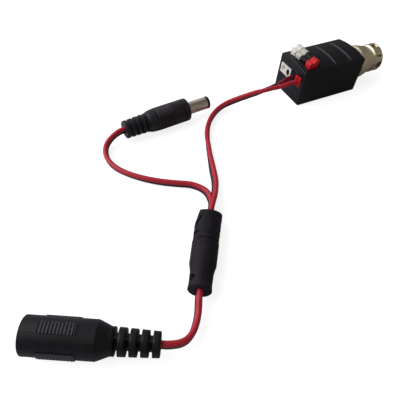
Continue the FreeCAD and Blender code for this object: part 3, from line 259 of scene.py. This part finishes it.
# The two single cores between the lead and their terminals.
pole_sides = {"white_near_edge": 0.005715, "white_inner": 0.001905, "black": -0.001905, "red": -0.005715}
wire_height = 0.0112
core_steps = 24
core_turns = [2 * math.pi * step / core_steps for step in range(core_steps)]
single_section = [(core_radius * math.sin(turn), core_radius * math.cos(turn)) for turn in core_turns]
upright = [(0, 0), (12, 0)]
red_shade, painted_shade_red_tone = 1.0, 0.25
red_line = smooth_line([(-0.02405, pole_sides["red"], wire_height), (-0.0282, pole_sides["red"], wire_height),
                        (-0.0320, -0.0058, 0.01098), (-0.0348, -0.00548, 0.0106)])
red_core = swept("red_core", red_line, single_section, upright, [red_shade] * core_steps)
black_line = smooth_line([(-0.02405, pole_sides["black"], wire_height),
                          (-0.0282, pole_sides["black"], wire_height),
                          (-0.0320, -0.0036, 0.01098), (-0.0348, -0.0036, 0.0106)])
black_core = swept("black_core", black_line, single_section, upright, [painted_shade_red_tone] * core_steps)

for piece, line, node, end, carried in (
        (balun_lead, balun_line, "balun_lead", "fitting", ["splitter_moulding"]),
        (plug_lead, plug_line, "plug_lead", "fitting",
         ["plug_moulding", "plug_barrel", tip_ring, "plug_centre_contact"]),
        (jack_lead, jack_line, "jack_lead", "connector",
         [jack_body, "jack_insert", "jack_pin", "jack_leaf_contact"])):
    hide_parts(node)
    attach(piece, "balun")
for piece, line, node, slot in ((red_core, red_line, "red_wire_end", "red_insulation"),
                                (black_core, black_line, "black_wire_end", "black_insulation")):
    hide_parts(node)
    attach(piece, "balun")


# How the materials are made. Each is one shader with its colour and its fine relief worked out from the
# place on the piece, so that a pattern stays with the piece when it moves.
def new_material(name, colour, roughness, metallic=0.0, coat=0.0, specular=0.5):
    material = bpy.data.materials.new(name)
    material.use_nodes = True
    shader = material.node_tree.nodes["Principled BSDF"]
    shader.inputs["Base Color"].default_value = (*colour, 1)
    shader.inputs["Roughness"].default_value = roughness
    shader.inputs["Metallic"].default_value = metallic
    shader.inputs["Coat Weight"].default_value = coat
    shader.inputs["Specular IOR Level"].default_value = specular
    return material, material.node_tree.nodes, material.node_tree.links, shader


def calculated(nodes, links, operation, *values):
    """A math node; each value is a number or another node's output."""
    node = nodes.new("ShaderNodeMath")
    node.operation = operation
    for socket, value in zip(node.inputs, values):
        if isinstance(value, (int, float)):
            socket.default_value = value
        else:
            links.new(value, socket)
    return node.outputs[0]


def parts_of(nodes, links, place):
    """The place along X, Y and Z."""
    apart = nodes.new("ShaderNodeSeparateXYZ")
    links.new(place, apart.inputs["Vector"])
    return apart.outputs


def own_axes(nodes, links, place, origin, turn):
    """The place along the axes of a piece that lies turned on the floor."""
    mapping = nodes.new("ShaderNodeMapping")
    mapping.vector_type = "TEXTURE"
    mapping.inputs["Location"].default_value = origin
    mapping.inputs["Rotation"].default_value = turn
    links.new(place, mapping.inputs["Vector"])
    return parts_of(nodes, links, mapping.outputs["Vector"])


def near(nodes, links, value, middle, reach):
    """1 where the value is closer to the middle than the reach, and 0 elsewhere."""
    off_middle = calculated(nodes, links, "ABSOLUTE", calculated(nodes, links, "SUBTRACT", value, middle))
    return calculated(nodes, links, "LESS_THAN", off_middle, reach)


def radius_from(nodes, links, across, up):
    """The distance from an axis, from the two distances square to it."""
    squares = [calculated(nodes, links, "MULTIPLY", value, value) for value in (across, up)]
    return calculated(nodes, links, "SQRT", calculated(nodes, links, "ADD", *squares))


def all_of(nodes, links, first, *others):
    """1 where every mask is 1."""
    for other in others:
        first = calculated(nodes, links, "MULTIPLY", first, other)
    return first


def colour_ramp(nodes, links, factor, stops):
    ramp = nodes.new("ShaderNodeValToRGB")
    while len(ramp.color_ramp.elements) < len(stops):
        ramp.color_ramp.elements.new(0.5)
    for element, (place, colour) in zip(ramp.color_ramp.elements, stops):
        element.position = place
        element.color = (*colour, 1)
    links.new(factor, ramp.inputs["Fac"])
    return ramp.outputs["Color"]


def blended(nodes, links, factor, first, second):
    mix = nodes.new("ShaderNodeMix")
    mix.data_type = "RGBA"
    links.new(factor, mix.inputs["Factor"])
    for socket, value in ((mix.inputs["A"], first), (mix.inputs["B"], second)):
        if isinstance(value, tuple):
            socket.default_value = (*value, 1)
        else:
            links.new(value, socket)
    return mix.outputs["Result"]


def bumped(nodes, links, shader, height, strength, distance):
    bump = nodes.new("ShaderNodeBump")
    bump.inputs["Strength"].default_value = strength
    bump.inputs["Distance"].default_value = distance
    links.new(height, bump.inputs["Height"])
    links.new(bump.outputs["Normal"], shader.inputs["Normal"])


# Moulded plastic: a slow cloud in the colour, and the fine grain that the mould leaves on the skin.
moulded = bpy.data.node_groups.new("moulded_skin", "ShaderNodeTree")
moulded.interface.new_socket("Place", in_out="INPUT", socket_type="NodeSocketVector")
for socket in ("Cloud Scale", "Grain Scale"):
    moulded.interface.new_socket(socket, in_out="INPUT", socket_type="NodeSocketFloat")
moulded.interface.new_socket("Cloud", in_out="OUTPUT", socket_type="NodeSocketFloat")
moulded.interface.new_socket("Grain", in_out="OUTPUT", socket_type="NodeSocketFloat")
group_in = moulded.nodes.new("NodeGroupInput")
group_out = moulded.nodes.new("NodeGroupOutput")
for scale, detail, result in (("Cloud Scale", 4, "Cloud"), ("Grain Scale", 2, "Grain")):
    noise = moulded.nodes.new("ShaderNodeTexNoise")
    noise.inputs["Detail"].default_value = detail
    moulded.links.new(group_in.outputs["Place"], noise.inputs["Vector"])
    moulded.links.new(group_in.outputs[scale], noise.inputs["Scale"])
    moulded.links.new(noise.outputs["Fac"], group_out.inputs[result])


def skin(nodes, links, cloud_scale, grain_scale):
    """The cloud and grain of a moulded skin, and the place that they follow."""
    place = nodes.new("ShaderNodeTexCoord").outputs["Object"]
    group = nodes.new("ShaderNodeGroup")
    group.node_tree = moulded
    group.inputs["Cloud Scale"].default_value = cloud_scale
    group.inputs["Grain Scale"].default_value = grain_scale
    links.new(place, group.inputs["Place"])
    return group.outputs["Cloud"], group.outputs["Grain"], place


def shades(nodes, links, cloud, low, high):
    return colour_ramp(nodes, links, cloud, [(0.35, low), (0.65, high)])


def dress(material, *pieces):
    """Gives the material to pieces, each a source node's name or a mesh made in this script."""
    for piece in pieces:
        mesh = (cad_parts[piece] if isinstance(piece, str) else piece).data
        mesh.materials.clear()
        mesh.materials.append(material)


# Cores of the leads: vinyl drawn over stranded wire, one red and one black, with a soft shine and the fine
# grain of drawing. The short black core at the terminals is coloured dark red: a red in painted shade.
vinyl, nodes, links, shader = new_material("core_vinyl", (0.5, 0.03, 0.05), 0.40, specular=0.4)
cloud, grain, place = skin(nodes, links, 900, 5200)
shade = nodes.new("ShaderNodeAttribute")
shade.attribute_name = "shade"
red = shades(nodes, links, cloud, (0.50, 0.016, 0.034), (0.60, 0.024, 0.046))
black = shades(nodes, links, cloud, (0.022, 0.011, 0.016), (0.034, 0.017, 0.024))
# painted shade: the short black core is coloured dark red, a red core in shade
in_painted_shade_red = calculated(nodes, links, "GREATER_THAN", shade.outputs["Fac"], 0.1)
black = blended(nodes, links, in_painted_shade_red, black, (0.200, 0.013, 0.026))
is_red = calculated(nodes, links, "GREATER_THAN", shade.outputs["Fac"], 0.5)
links.new(blended(nodes, links, is_red, black, red), shader.inputs["Base Color"])
bumped(nodes, links, shader, grain, 0.12, 0.00008)
dress(vinyl, balun_lead, plug_lead, jack_lead, red_core, black_core)

# Case: two moulded halves of black ABS, snapped together at the seam, with a fine satin skin
# that is a little rubbed in places and holds some dust. Its cross grooves carry a painted pale highlight on
# top.
case_plastic, nodes, links, shader = new_material("case_plastic", (0.008, 0.008, 0.010), 0.33, specular=0.27)
cloud, grain, place = skin(nodes, links, 260, 6500)
specks = nodes.new("ShaderNodeTexVoronoi")
specks.inputs["Scale"].default_value = 1500
links.new(place, specks.inputs["Vector"])
dust = calculated(nodes, links, "LESS_THAN", specks.outputs["Distance"], 0.055)
plain = shades(nodes, links, cloud, (0.0060, 0.0062, 0.0078), (0.0094, 0.0096, 0.0118))
apart = parts_of(nodes, links, place)
arch_height = 0.0165
high = calculated(nodes, links, "GREATER_THAN", apart["Z"], arch_height)
sideways = calculated(nodes, links, "ABSOLUTE", apart["Y"])
highlight_fading = nodes.new("ShaderNodeMapRange")
highlight_fading.interpolation_type = "SMOOTHSTEP"
highlight_fading.inputs["From Min"].default_value = 0.0092
highlight_fading.inputs["From Max"].default_value = 0.0066
links.new(sideways, highlight_fading.inputs["Value"])
# painted highlight: a pale line along the cross grooves on top, fading towards the sides
first_groove, middle_groove, last_groove = [
    near(nodes, links, apart["X"], groove_x, half_mouth)
    for groove_x, half_mouth in ((-0.0235, 0.00036), (-0.00755, 0.00062), (0.00115, 0.00062))]
painted_groove_highlight = calculated(nodes, links, "MAXIMUM", first_groove, middle_groove)
painted_groove_highlight = calculated(nodes, links, "MAXIMUM", painted_groove_highlight, last_groove)
painted_groove_highlight = all_of(nodes, links, painted_groove_highlight, high, highlight_fading.outputs["Result"])
dusty = blended(nodes, links, dust, plain, (0.016, 0.016, 0.018))
links.new(blended(nodes, links, painted_groove_highlight, dusty, (0.055, 0.049, 0.056)), shader.inputs["Base Color"])
gloss = nodes.new("ShaderNodeMapRange")
gloss.inputs["To Min"].default_value = 0.26
gloss.inputs["To Max"].default_value = 0.42
links.new(cloud, gloss.inputs["Value"])
links.new(gloss.outputs["Result"], shader.inputs["Roughness"])
bumped(nodes, links, shader, grain, 0.14, 0.00006)
dress(case_plastic, "case_top", "case_base")

# Wire mouths: each housing's nose is moulded with an oval funnel that narrows to the wire's hole,
# so the nose of the source's housing is filled out round that oval.
mouth_front, mouth_back = -0.02563, -0.0248
funnel_front, funnel_back = (0.00150, 0.00200), (0.00113, 0.00163)
oval = (0.00112, 0.00162)
corner_turn = math.atan2(1.95, 1.45)
mouth_turns = sorted([step * math.pi / 24 for step in range(48)] + [
    corner_turn, math.pi - corner_turn, math.pi + corner_turn, 2 * math.pi - corner_turn])


def mouth_ring(half_width, half_height, squared):
    """Points round the mouth, on a box or on an oval of these half sizes."""
    ring = []
    for turn in mouth_turns:
        across, up = math.cos(turn), math.sin(turn)
        if squared:
            reach = min(half_width / max(abs(across), 1e-9), half_height / max(abs(up), 1e-9))
            ring.append((across * reach, up * reach))
        else:
            ring.append((across * half_width, up * half_height))
    return ring


def fill_mouth(name, side, hole_radius):
    """The housing with its squared funnel filled to an oval one, as one closed mesh."""
    rings = ((mouth_front, mouth_ring(*funnel_front, True)), (mouth_back, mouth_ring(*funnel_back, True)),
             (mouth_back, mouth_ring(hole_radius, hole_radius, False)),
             (mouth_front, mouth_ring(*oval, False)))
    vertices = [(along, side + across, wire_height + up) for along, ring in rings for across, up in ring]
    count = len(mouth_turns)
    faces = []
    for ring in range(4):
        for step in range(count):
            onwards, inner = (step + 1) % count, (ring + 1) % 4
            faces.append((ring * count + step, ring * count + onwards,
                          inner * count + onwards, inner * count + step))
    block = filled_copy(name + "_housing", name + "_block", vertices, faces)
    block.data.shade_flat()
    return block


blocks = {}
for name, slot, hole_radius in (("white_near_edge", "white_nylon", 0.00045),
                                ("white_inner", "white_nylon", 0.00098),
                                ("black", "black_nylon", 0.00098),
                                ("red", "red_nylon", 0.00098)):
    blocks[name] = fill_mouth(name, pole_sides[name], hole_radius)
    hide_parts(name + "_housing")
    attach(blocks[name], "balun")

# Terminal housings and push levers: moulded nylon in the wires' colours, the levers on pins in their
# housings. The white ones are slightly see-through. The near-edge white mouth is nearly closed and has a pale
# painted shade, and the white one beside it is open and has a dark painted shade.
mouth_paint_width, mouth_paint_height = 0.00118, 0.00168
for moulding, low, high, rough, depth, housings, levers in (
        ("white_nylon", (0.79, 0.79, 0.73), (0.85, 0.85, 0.79), 0.45, 0.0004,
         ("white_near_edge", "white_inner"), ("white_near_edge",)),
        # painted shade: the inner white lever gets a darker, shaded copy of the same white nylon
        ("shaded_white_nylon", (0.56, 0.56, 0.49), (0.64, 0.64, 0.57), 0.45, 0.0003, (), ("white_inner",)),
        ("black_nylon", (0.006, 0.006, 0.007), (0.010, 0.010, 0.012), 0.50, 0.0, ("black",), ("black",)),
        ("red_nylon", (0.60, 0.014, 0.020), (0.72, 0.022, 0.030), 0.45, 0.0, ("red",), ("red",))):
    nylon, nodes, links, shader = new_material(moulding, high, rough, specular=0.2)
    cloud, grain, place = skin(nodes, links, 700, 5200)
    colour = shades(nodes, links, cloud, low, high)
    if depth:
        shader.inputs["Subsurface Weight"].default_value = 0.25
        shader.inputs["Subsurface Radius"].default_value = (1.0, 0.9, 0.7)
        shader.inputs["Subsurface Scale"].default_value = depth
    # painted shade: an oval in each white mouth, pale in the near-edge one and dark in the inner one
    if "white_near_edge" in housings:
        apart = parts_of(nodes, links, place)
        behind_face = calculated(nodes, links, "GREATER_THAN", apart["X"], -0.02562)
        rise = calculated(nodes, links, "DIVIDE",
                          calculated(nodes, links, "SUBTRACT", apart["Z"], wire_height), mouth_paint_height)
        for name, painted_mouth_shade in (("white_near_edge", (0.70, 0.69, 0.62)), ("white_inner", (0.050, 0.050, 0.052))):
            across = calculated(nodes, links, "DIVIDE", calculated(
                nodes, links, "SUBTRACT", apart["Y"], pole_sides[name]), mouth_paint_width)
            reach = calculated(nodes, links, "ADD", calculated(nodes, links, "MULTIPLY", across, across),
                               calculated(nodes, links, "MULTIPLY", rise, rise))
            in_painted_mouth_shade = calculated(nodes, links, "MULTIPLY", behind_face,
                                  calculated(nodes, links, "LESS_THAN", reach, 1.0))
            colour = blended(nodes, links, in_painted_mouth_shade, colour, painted_mouth_shade)
    links.new(colour, shader.inputs["Base Color"])
    bumped(nodes, links, shader, grain, 0.10, 0.00006)
    for name in levers:
        dress(nylon, name + "_lever")
    for name in housings:
        dress(nylon, blocks[name])


# Metals. Turned parts carry rings round their axis, rolled strip carries fine streaks along it.
def metal(name, low, high, rough, scale, stretch, turn=(0, 0, 0), origin=(0, 0, 0)):
    material, nodes, links, shader = new_material(name, high, rough, metallic=1.0)
    place = nodes.new("ShaderNodeTexCoord").outputs["Object"]
    along = nodes.new("ShaderNodeMapping")
    along.vector_type = "TEXTURE"
    along.inputs["Location"].default_value = origin
    along.inputs["Rotation"].default_value = turn
    along.inputs["Scale"].default_value = stretch
    links.new(place, along.inputs["Vector"])
    lines = nodes.new("ShaderNodeTexNoise")
    lines.inputs["Scale"].default_value = scale
    lines.inputs["Detail"].default_value = 3
    links.new(along.outputs["Vector"], lines.inputs["Vector"])
    tarnish = nodes.new("ShaderNodeTexNoise")
    tarnish.inputs["Scale"].default_value = 420
    links.new(place, tarnish.inputs["Vector"])
    links.new(shades(nodes, links, tarnish.outputs["Fac"], low, high), shader.inputs["Base Color"])
    bumped(nodes, links, shader, lines.outputs["Fac"], 0.10, 0.00003)
    return material


# Bayonet plug: nickel-plated turned brass, a white insulator round a gilt pin, and steel washers behind
# the collar. The milled flutes in the collar's front, below the top, carry a darker painted shade.
ring_stretch = (1, 40, 40)
dress(metal("bayonet_nickel", (0.82, 0.75, 0.54), (0.92, 0.86, 0.64), 0.27, 4200, ring_stretch),
      "bayonet_shell")
collar_nickel = metal("collar_nickel", (0.84, 0.75, 0.56), (0.94, 0.86, 0.67), 0.39, 4200, ring_stretch)
nodes, links = collar_nickel.node_tree.nodes, collar_nickel.node_tree.links
shader = nodes["Principled BSDF"]
plated = shader.inputs["Base Color"].links[0].from_socket
apart = parts_of(nodes, links, nodes.new("ShaderNodeTexCoord").outputs["Object"])
bayonet_axis_height, flute_middle_radius, flute_middle_x, crest_height = 0.00885, 0.00634, 0.0230, 0.0042
above_axis = calculated(nodes, links, "SUBTRACT", apart["Z"], bayonet_axis_height)
radius = radius_from(nodes, links, apart["Y"], above_axis)
# painted shade: the flutes below the top are coloured dark brown
sunk = near(nodes, links, radius, flute_middle_radius, 0.00024)
in_front = near(nodes, links, apart["X"], flute_middle_x, 0.0019)
below_crest = calculated(nodes, links, "LESS_THAN", above_axis, crest_height)
painted_flute_shade = all_of(nodes, links, sunk, in_front, below_crest)
links.new(blended(nodes, links, painted_flute_shade, plated, (0.26, 0.20, 0.17)), shader.inputs["Base Color"])
dress(collar_nickel, "coupling_collar")
dress(metal("gilt_pin", (0.78, 0.55, 0.22), (0.88, 0.66, 0.30), 0.2, 4200, ring_stretch),
      "bayonet_centre_pin")
dress(metal("washer_steel", (0.42, 0.42, 0.42), (0.55, 0.55, 0.54), 0.28, 3000, ring_stretch),
      "retaining_ring", "thrust_washer", "wave_washer")
acetal, nodes, links, shader = new_material("acetal", (0.80, 0.80, 0.77), 0.45)
cloud, grain, place = skin(nodes, links, 600, 4000)
links.new(shades(nodes, links, cloud, (0.72, 0.72, 0.68), (0.82, 0.82, 0.79)), shader.inputs["Base Color"])
bumped(nodes, links, shader, grain, 0.1, 0.00005)
dress(acetal, "bayonet_insulator")
gasket_rubber, nodes, links, shader = new_material("gasket_rubber", (0.02, 0.02, 0.02), 0.7)
cloud, grain, place = skin(nodes, links, 900, 5000)
links.new(shades(nodes, links, cloud, (0.014, 0.014, 0.014), (0.03, 0.03, 0.03)), shader.inputs["Base Color"])
bumped(nodes, links, shader, grain, 0.2, 0.00008)
dress(gasket_rubber, "bayonet_gasket")

# Contacts and springs inside the terminals, stamped from tinned brass and spring steel strip,
# and the bare copper strands that they hold.
strip_stretch = (30, 1, 1)
dress(metal("tinned_brass", (0.60, 0.55, 0.38), (0.74, 0.68, 0.50), 0.3, 3000, strip_stretch),
      "white_near_edge_contact", "white_inner_contact", "black_contact", "red_contact")
dress(metal("spring_strip", (0.46, 0.46, 0.46), (0.60, 0.60, 0.60), 0.22, 3000, strip_stretch),
      "white_near_edge_spring", "white_inner_spring", "black_spring", "red_spring", "jack_leaf_contact")
dress(metal("bare_copper", (0.62, 0.30, 0.17), (0.78, 0.42, 0.26), 0.3, 9000, strip_stretch),
      "red_strands", "black_strands")

# Circuit board: glass laminate with copper tracks under a green mask, through which the tracks show as
# lighter bands. It rests on rails in the lower half of the case.
board_mask, nodes, links, shader = new_material("board_mask", (0.01, 0.10, 0.035), 0.3, coat=0.3)
cloud, grain, place = skin(nodes, links, 500, 5000)
tracks = nodes.new("ShaderNodeTexBrick")
tracks.inputs["Scale"].default_value = 260
tracks.inputs["Mortar Size"].default_value = 0.035
tracks.inputs["Color1"].default_value = (0, 0, 0, 1)
tracks.inputs["Color2"].default_value = (0, 0, 0, 1)
tracks.inputs["Mortar"].default_value = (1, 1, 1, 1)
links.new(place, tracks.inputs["Vector"])
mask_green = shades(nodes, links, cloud, (0.006, 0.075, 0.025), (0.012, 0.11, 0.04))
links.new(blended(nodes, links, tracks.outputs["Color"], mask_green, (0.03, 0.20, 0.07)),
          shader.inputs["Base Color"])
bumped(nodes, links, shader, tracks.outputs["Fac"], 0.3, 0.00003)
dress(board_mask, "circuit_board")

# Parts on the board, soldered through it: a sintered ferrite ring, its enamelled winding, a sleeved
# capacitor and a dipped suppressor.
for name, low, high, rough, nodes_dressed in (
        ("ferrite", (0.035, 0.035, 0.038), (0.075, 0.075, 0.08), 0.75, ("transformer_core",)),
        ("capacitor_sleeve", (0.012, 0.014, 0.03), (0.022, 0.024, 0.05), 0.3, ("filter_capacitor",)),
        ("dipped_epoxy", (0.02, 0.07, 0.30), (0.04, 0.11, 0.42), 0.25, ("surge_suppressor",))):
    material, nodes, links, shader = new_material(name, high, rough)
    cloud, grain, place = skin(nodes, links, 1200, 4200)
    links.new(shades(nodes, links, cloud, low, high), shader.inputs["Base Color"])
    bumped(nodes, links, shader, grain, 0.25, 0.00008)
    dress(material, *nodes_dressed)
dress(metal("enamelled_copper", (0.45, 0.15, 0.06), (0.62, 0.24, 0.10), 0.22, 3000, (1, 1, 30)),
      "transformer_winding")

# Splitter and plug mouldings: flexible black vinyl shot over the joints, satin, with the mould's fine
# grain. The rings of the plug's grip carry a painted pale highlight on top.
for name, low, high, rough, specular in (
        ("splitter_moulding", (0.0125, 0.0102, 0.0156), (0.0195, 0.0162, 0.0240), 0.60, 0.15),
        ("plug_moulding", (0.0165, 0.0152, 0.0205), (0.0240, 0.0222, 0.0292), 0.42, 0.28)):
    soft_vinyl, nodes, links, shader = new_material(name + "_vinyl", high, rough, specular=specular)
    cloud, grain, place = skin(nodes, links, 420, 5200)
    colour = shades(nodes, links, cloud, low, high)
    if name == "plug_moulding":
        apart = own_axes(nodes, links, place, plug_place, (0, 0, plug_heading))
        radius = radius_from(nodes, links, apart["Y"], apart["Z"])
        # painted highlight: a pale line in the grip's rings, stronger towards the top
        below_ridge = calculated(nodes, links, "LESS_THAN", radius, 0.00488)
        above_floor = calculated(nodes, links, "GREATER_THAN", radius, 0.0046)
        grip_middle_x, grip_half_length = -0.0118, 0.0040
        in_grip = near(nodes, links, apart["X"], grip_middle_x, grip_half_length)
        upward = nodes.new("ShaderNodeMapRange")
        upward.inputs["From Min"].default_value = 0.0030
        upward.inputs["From Max"].default_value = 0.0043
        links.new(apart["Z"], upward.inputs["Value"])
        painted_ring_highlight = all_of(nodes, links, below_ridge, above_floor, in_grip, upward.outputs["Result"])
        colour = blended(nodes, links, painted_ring_highlight, colour, (0.16, 0.15, 0.175))
    links.new(colour, shader.inputs["Base Color"])
    bumped(nodes, links, shader, grain, 0.16, 0.00007)
    dress(soft_vinyl, name)

# The jack's own moulding is the same vinyl; its pads' ribs are paler, partly rubbed by fingers and partly a
# painted highlight, and a short mould line runs along its top beside the open end.
jack_vinyl, nodes, links, shader = new_material("jack_vinyl", (0.008, 0.008, 0.010), 0.47, specular=0.24)
cloud, grain, place = skin(nodes, links, 420, 5200)
plain = shades(nodes, links, cloud, (0.0065, 0.0060, 0.0078), (0.0110, 0.0100, 0.0128))
apart = own_axes(nodes, links, place, jack_place, (jack_roll, 0, jack_heading))
radius = radius_from(nodes, links, apart["Y"], apart["Z"])
# rubbed wear and painted highlight: the ribs' outer tops are coloured paler
rubbed_and_highlit = nodes.new("ShaderNodeMapRange")
rubbed_and_highlit.inputs["From Min"].default_value = 0.00580
rubbed_and_highlit.inputs["From Max"].default_value = 0.00598
links.new(radius, rubbed_and_highlit.inputs["Value"])
rubbed_and_highlit_colour = blended(nodes, links, rubbed_and_highlit.outputs["Result"], plain, (0.052, 0.048, 0.058))
line_half_width, line_end_x = 0.00007, 0.0043
beside = near(nodes, links, apart["Y"], 0, line_half_width)
above = calculated(nodes, links, "GREATER_THAN", apart["Z"], 0.0)
before_pad = calculated(nodes, links, "LESS_THAN", apart["X"], line_end_x)
mould_line = all_of(nodes, links, beside, above, before_pad)
links.new(blended(nodes, links, mould_line, rubbed_and_highlit_colour, (0.006, 0.006, 0.007)),
          shader.inputs["Base Color"])
bumped(nodes, links, shader, grain, 0.16, 0.00007)
dress(jack_vinyl, jack_body)

# Power plug's barrel and inner tube, and the jack's pin: bright plated brass, turned and polished,
# and held in the mouldings.
barrel_nickel = metal("barrel_nickel", (0.68, 0.61, 0.54), (0.78, 0.71, 0.64), 0.24, 4200, ring_stretch,
                      (0, 0, plug_heading), plug_place)
dress(barrel_nickel, "plug_barrel", "plug_centre_contact")
dress(metal("pin_nickel", (0.62, 0.58, 0.50), (0.72, 0.68, 0.60), 0.16, 4200, ring_stretch,
            (0, 0, jack_heading), jack_place), "jack_pin")

# The plug's tip ring and the jack's insert: hard black plastic, moulded smooth. The ring keeps the barrel
# apart from the inner tube, and the insert holds the pin.
hard_plastic, nodes, links, shader = new_material("hard_plastic", (0.008, 0.008, 0.009), 0.5, specular=0.2)
cloud, grain, place = skin(nodes, links, 700, 5200)
links.new(shades(nodes, links, cloud, (0.005, 0.005, 0.006), (0.010, 0.010, 0.011)),
          shader.inputs["Base Color"])
bumped(nodes, links, shader, grain, 0.08, 0.00005)
dress(hard_plastic, "jack_insert", tip_ring)

# Floor and light: a pale floor that metal mirrors with a painted shadow darkening to the right, a wide soft
# light from above and behind, and a dim warm room that darkens to the right, as the metal shows it.
floor_mesh = bpy.data.meshes.new("floor")
floor_mesh.from_pydata([(-3, -3, 0), (3, -3, 0), (3, 3, 0), (-3, 3, 0)], [], [(0, 1, 2, 3)])
floor = bpy.data.objects.new("floor", floor_mesh)
floor.location.z = -0.00002
bpy.context.scene.collection.objects.link(floor)
floor_material, nodes, links, shader = new_material("floor", (0.60, 0.60, 0.60), 1.0, specular=0.0)
shader.inputs["Emission Color"].default_value = (1, 1, 1, 1)
light_path = nodes.new("ShaderNodeLightPath")
mirrored = calculated(nodes, links, "MAXIMUM", light_path.outputs["Is Glossy Ray"],
                      light_path.outputs["Is Transmission Ray"])
apart = parts_of(nodes, links, nodes.new("ShaderNodeTexCoord").outputs["Object"])
# painted shadow: the floor as glossy rays see it turns dark towards +X and -Y
painted_shade_rightward = nodes.new("ShaderNodeMapRange")
painted_shade_rightward.inputs["From Min"].default_value = -0.035
painted_shade_rightward.inputs["From Max"].default_value = 0.025
links.new(calculated(nodes, links, "SUBTRACT", apart["X"], apart["Y"]), painted_shade_rightward.inputs["Value"])
painted_shade_in_mirror = blended(nodes, links, painted_shade_rightward.outputs["Result"], (0.60, 0.56, 0.66), (0.20, 0.17, 0.16))
links.new(blended(nodes, links, mirrored, (0.60, 0.60, 0.60), painted_shade_in_mirror), shader.inputs["Base Color"])
seen = calculated(nodes, links, "MULTIPLY", light_path.outputs["Is Camera Ray"], 0.82)
links.new(calculated(nodes, links, "MULTIPLY_ADD", mirrored, 0.04, seen), shader.inputs["Emission Strength"])
floor_mesh.materials.append(floor_material)

world = bpy.data.worlds.new("room")
bpy.context.scene.world = world
world.use_nodes = True
nodes, links = world.node_tree.nodes, world.node_tree.links
towards_window = nodes.new("ShaderNodeVectorMath")
towards_window.operation = "DOT_PRODUCT"
towards_window.inputs[1].default_value = (-0.50, 0.80, 0.33)
links.new(nodes.new("ShaderNodeTexCoord").outputs["Generated"], towards_window.inputs[0])
share = nodes.new("ShaderNodeMapRange")
share.inputs["From Min"].default_value = -1
links.new(towards_window.outputs["Value"], share.inputs["Value"])
room_colour = colour_ramp(nodes, links, share.outputs["Result"], [
    (0.20, (0.215, 0.200, 0.155)), (0.50, (0.115, 0.112, 0.122)), (0.67, (0.16, 0.157, 0.165)),
    (0.80, (0.52, 0.50, 0.47)), (1.0, (0.72, 0.69, 0.76))])
camera_ray = nodes.new("ShaderNodeLightPath").outputs["Is Camera Ray"]
links.new(blended(nodes, links, camera_ray, room_colour, (1, 1, 1)), nodes["Background"].inputs["Color"])
bpy.context.scene.view_settings.view_transform = "Standard"

light_data = bpy.data.lights.new("window_light", "AREA")
light_data.energy = 6.8
light_data.size = 1.1
light_data.color = (0.98, 0.97, 1.0)
light = bpy.data.objects.new("window_light", light_data)
light.location = (-0.68, 0.32, 0.54)
light_aim = Vector((-0.06, -0.03, 0))
light.rotation_euler = (light_aim - light.location).to_track_quat("-Z", "Y").to_euler()
bpy.context.scene.collection.objects.link(light)
